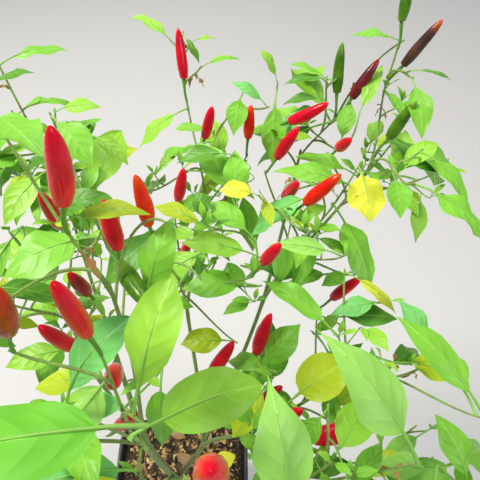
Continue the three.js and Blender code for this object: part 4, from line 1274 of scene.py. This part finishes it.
def soilMaterial():
    material, tree, shader = startMaterial("pottingMix", Roughness=soilFinish["rough"])
    crumbs = noise(tree, placeOf(tree), *soilFinish["crumbs"])
    mixed = ramp(tree, crumbs, *soilFinish["crumbEdges"])
    colour = blend(tree, mixed, soilFinish["dark"], soilFinish["light"])
    tree.links.new(colour, shader.inputs["Base Color"])
    tree.links.new(bump(tree, crumbs, *soilFinish["bump"]), shader.inputs["Normal"])
    return material


soilPiece = lofted("soil_top", soilRings(), soilMaterial())
settle(soilPiece, "potting_mix", "soil")

strewRule = {"level": 0.5, "sizeSeed": 9, "wallAir": 1.5}


def buildScatterTree():
    takes = {"Geometry": "Geometry", "Shape": "Object", "Density": "Float", "Inner": "Vector",
             "Room": "Float", "Seed": "Int", "Smallest": "Vector", "Largest": "Vector", "Tilt": "Float",
             "Finish": "Material"}
    tree, given = newTree("strewnOver", "GeometryNodeTree", takes, {"Geometry": "Geometry"})
    normal = wire(tree, "GeometryNodeInputNormal").outputs[0]
    facing = wire(tree, "ShaderNodeSeparateXYZ", {0: normal}).outputs[2]
    # How far a point lies past the square inside the rounded corners says how near the pot's wall it is.
    past = vectorCalc(tree, "ABSOLUTE", wire(tree, "GeometryNodeInputPosition").outputs[0])
    past = vectorCalc(tree, "MAXIMUM", vectorCalc(tree, "SUBTRACT", past, given["Inner"]), (0, 0, 0))
    past = wire(tree, "ShaderNodeVectorMath", {0: past}, operation="LENGTH").outputs["Value"]
    clear = calc(tree, "LESS_THAN", past, given["Room"])
    level = calc(tree, "MULTIPLY", calc(tree, "GREATER_THAN", facing, strewRule["level"]), clear)
    points = wire(tree, "GeometryNodeDistributePointsOnFaces",
                  {"Mesh": given["Geometry"], "Selection": level, "Density": given["Density"],
                   "Seed": given["Seed"]}, distribute_method="RANDOM").outputs["Points"]
    shape = wire(tree, "GeometryNodeObjectInfo", {"Object": given["Shape"]}).outputs["Geometry"]
    lean = calc(tree, "MULTIPLY", given["Tilt"], -1.0)
    low = wire(tree, "ShaderNodeCombineXYZ", {0: lean, 1: lean, 2: 0.0}).outputs[0]
    high = wire(tree, "ShaderNodeCombineXYZ", {0: given["Tilt"], 1: given["Tilt"], 2: fullTurn}).outputs[0]
    turn = wire(tree, "FunctionNodeRandomValue", {0: low, 1: high, "Seed": given["Seed"]},
                data_type="FLOAT_VECTOR").outputs[0]
    size = wire(tree, "FunctionNodeRandomValue",
                {0: given["Smallest"], 1: given["Largest"], "Seed": strewRule["sizeSeed"]},
                data_type="FLOAT_VECTOR").outputs[0]
    turn = wire(tree, "FunctionNodeEulerToRotation", {0: turn}).outputs[0]
    strewn = wire(tree, "GeometryNodeInstanceOnPoints",
                  {"Points": points, "Instance": shape, "Rotation": turn, "Scale": size}).outputs[0]
    real = wire(tree, "GeometryNodeRealizeInstances", {0: strewn}).outputs[0]
    done = wire(tree, "GeometryNodeSetMaterial", {0: real, "Material": given["Finish"]}).outputs[0]
    wire(tree, "NodeGroupOutput", {0: done})
    return tree


scatterTree = buildScatterTree()


def strew(name, look):
    ground = newObject(name, soilPiece.data.copy())
    ground.data.materials.clear()
    half, corner = soilEdge()
    # Inner is the square's half side, and its height never counts, since nothing lies a metre up.
    inner, shape = (half - corner) * mm, look["shape"]()
    space = (corner - strewRule["wallAir"]) * mm - look["largest"][0] / 2
    values = {"Shape": shape, "Density": look["density"], "Inner": (inner, inner, 1.0), "Room": space,
              "Seed": look["seed"], "Smallest": look["smallest"], "Largest": look["largest"],
              "Tilt": look["tilt"], "Finish": chipMaterial(look)}
    piece = runTree(ground, scatterTree, values)
    bpy.data.objects.remove(shape)
    return settle(piece, look["slot"])


def chipShape():
    # A splinter of bark: a box drawn in at both ends and bowed upward, a unit long.
    rings = [(-0.5, 0.55, 0.5), (-0.3, 0.95, 0.9), (0.1, 1.0, 1.0), (0.38, 0.75, 0.8), (0.5, 0.3, 0.4)]
    corners, bow = [(-1, -1), (1, -0.8), (0.9, 1), (-1, 0.9)], 1.6
    spots = [(x, y * wide / 2, z * high / 2 + bow * (0.25 - x * x))
             for x, wide, high in rings for y, z in corners]
    return newObject("chipShape", meshFrom("chipShape", spots, facesRound(len(rings), len(corners))))


def gritShape():
    mesh = bpy.data.meshes.new("gritShape")
    made = bmesh.new()
    bmesh.ops.create_icosphere(made, subdivisions=1, radius=0.5)
    made.to_mesh(mesh)
    made.free()
    return newObject("gritShape", mesh)


chipFinish = {"rough": 0.85, "detail": 2.0, "edges": (0.35, 0.65)}


def chipMaterial(look):
    material, tree, shader = startMaterial(look["finish"], Roughness=chipFinish["rough"])
    mixed = noise(tree, placeOf(tree), look["grain"], chipFinish["detail"])
    mixed = ramp(tree, mixed, *chipFinish["edges"])
    tree.links.new(blend(tree, mixed, look["dark"], look["light"]), shader.inputs["Base Color"])
    return material


# Density is the number to a square metre, sizes are in metres and the tilt is in radians.
litter = {
    "bark_chips": {"shape": chipShape, "finish": "barkChip", "grain": 70.0, "dark": rgb(92, 64, 36),
                   "light": rgb(200, 162, 108), "slot": "litter", "density": 11700.0, "seed": 3, "tilt": 0.5,
                   "smallest": (0.006, 0.002, 0.001), "largest": (0.024, 0.0065, 0.0028)},
    "pale_chips": {"shape": chipShape, "finish": "paleChip", "grain": 80.0, "dark": rgb(196, 156, 60),
                   "light": rgb(236, 214, 140), "slot": "litter", "density": 5400.0, "seed": 12, "tilt": 0.5,
                   "smallest": (0.004, 0.002, 0.001), "largest": (0.014, 0.005, 0.0022)},
    "dark_chips": {"shape": chipShape, "finish": "darkChip", "grain": 90.0, "dark": rgb(34, 26, 20),
                   "light": rgb(96, 74, 48), "slot": "potting_mix", "density": 54000.0, "seed": 8,
                   "tilt": 0.7, "smallest": (0.003, 0.0015, 0.001), "largest": (0.010, 0.004, 0.003)},
    "grit": {"shape": gritShape, "finish": "grit", "grain": 50.0, "dark": rgb(196, 190, 178),
             "light": rgb(226, 222, 212), "slot": "litter", "density": 9000.0, "seed": 4, "tilt": 0.9,
             "smallest": (0.0012, 0.0012, 0.001), "largest": (0.0032, 0.003, 0.0026)},
}
for name, look in litter.items():
    strew(name, look)
print("pot and soil drawn")

# Fallen leaves lie on the soil: dry brown ones and a yellow one, each as x, y, bearing, length, width.
# All have the shape that the yellow tint gives.
fallenRule = {"lift": 2.5, "rise": 4, "tint": "yellow"}
fallen = {"yellow": [(40, 29, 24, 36, 27)],
          "dry": [(40, 50, 100, 34, 16), (-20, 55, -30, 38, 18), (10, 70, 160, 30, 14), (60, -30, 60, 36, 17),
                  (-55, -20, 10, 34, 15), (-40, -60, 130, 32, 15), (30, -74, 60, 36, 16)]}


def drawFallen(name, rows, finish):
    leaves = []
    for x, y, bearing, length, width in rows:
        node = onPlant((x, y, soilBumps(x, y) + fallenRule["lift"]))
        line = leafLine(node, bearing, fallenRule["rise"], length)
        leaves.append(newLeaf(line, None, bearing, length, width, fallenRule["tint"]))
        leaves[-1].grid = bladeGrid(leaves[-1], leafDraw)
    return settle(drawBlades(name, leaves, finish), "litter")


drawFallen("fallen_yellow", fallen["yellow"], bpy.data.materials["leaf_yellow"])
dryLook = {"blade": rgb(150, 112, 70), "vein": rgb(180, 146, 100)}
drawFallen("fallen_dry", fallen["dry"], leafMaterial("leaf_dry", dryLook))

# Floor, light and camera
stageLook = {"floorSize": 12.0, "floor": rgb(226, 224, 220), "floorRough": 0.7, "sky": rgb(236, 240, 246),
             "skyStrength": 0.36}
reach = stageLook["floorSize"] / 2
floorCorners = [(-reach, -reach, 0), (reach, -reach, 0), (reach, reach, 0), (-reach, reach, 0)]
floor = newObject("floor", meshFrom("floor", floorCorners, [(0, 1, 2, 3)]))
floor.data.materials.append(plainMaterial("paleFloor", stageLook["floor"], stageLook["floorRough"]))

world = bpy.data.worlds.new("studio")
world.use_nodes = True
sky = world.node_tree.nodes["Background"].inputs
sky["Color"].default_value, sky["Strength"].default_value = stageLook["sky"], stageLook["skyStrength"]
bpy.context.scene.world = world


def softLight(name, look):
    lamp = bpy.data.lights.new(name, "AREA")
    lamp.shape, lamp.size, lamp.energy, lamp.color = "DISK", look["size"], look["power"], look["colour"]
    thing, way = newObject(name, lamp), Vector(look["target"]) - Vector(look["place"])
    thing.location, thing.rotation_euler = look["place"], way.to_track_quat("-Z", "Y").to_euler()


lamps = {
    "key": {"place": (-1.3, 0.4, 2.2), "target": (0.02, 0.02, 0.6), "size": 0.7, "power": 42,
            "colour": (1.0, 0.97, 0.92)},
    "fill": {"place": (1.6, -1.4, 1.9), "target": (0.02, 0.02, 0.5), "size": 1.4, "power": 23,
             "colour": (0.95, 0.98, 1.0)},
    "top": {"place": (0.2, 1.3, 2.4), "target": (0.02, 0.02, 0.6), "size": 1.2, "power": 15,
            "colour": (1.0, 0.99, 0.96)},
}
for name, look in lamps.items():
    softLight(name, look)

view = {"pitch": 53.13, "lens": 36.0, "sensor": 36.0, "clip": 0.01}
camera = bpy.data.cameras.new("camera")
camera.lens, camera.sensor_width, camera.clip_start = view["lens"], view["sensor"], view["clip"]
cameraThing = newObject("camera", camera)
cameraThing.location = viewpoint * mm
cameraThing.rotation_euler = (math.radians(90 - view["pitch"]), 0, 0)
bpy.context.scene.camera = cameraThing
bpy.context.scene.view_settings.view_transform = "Standard"
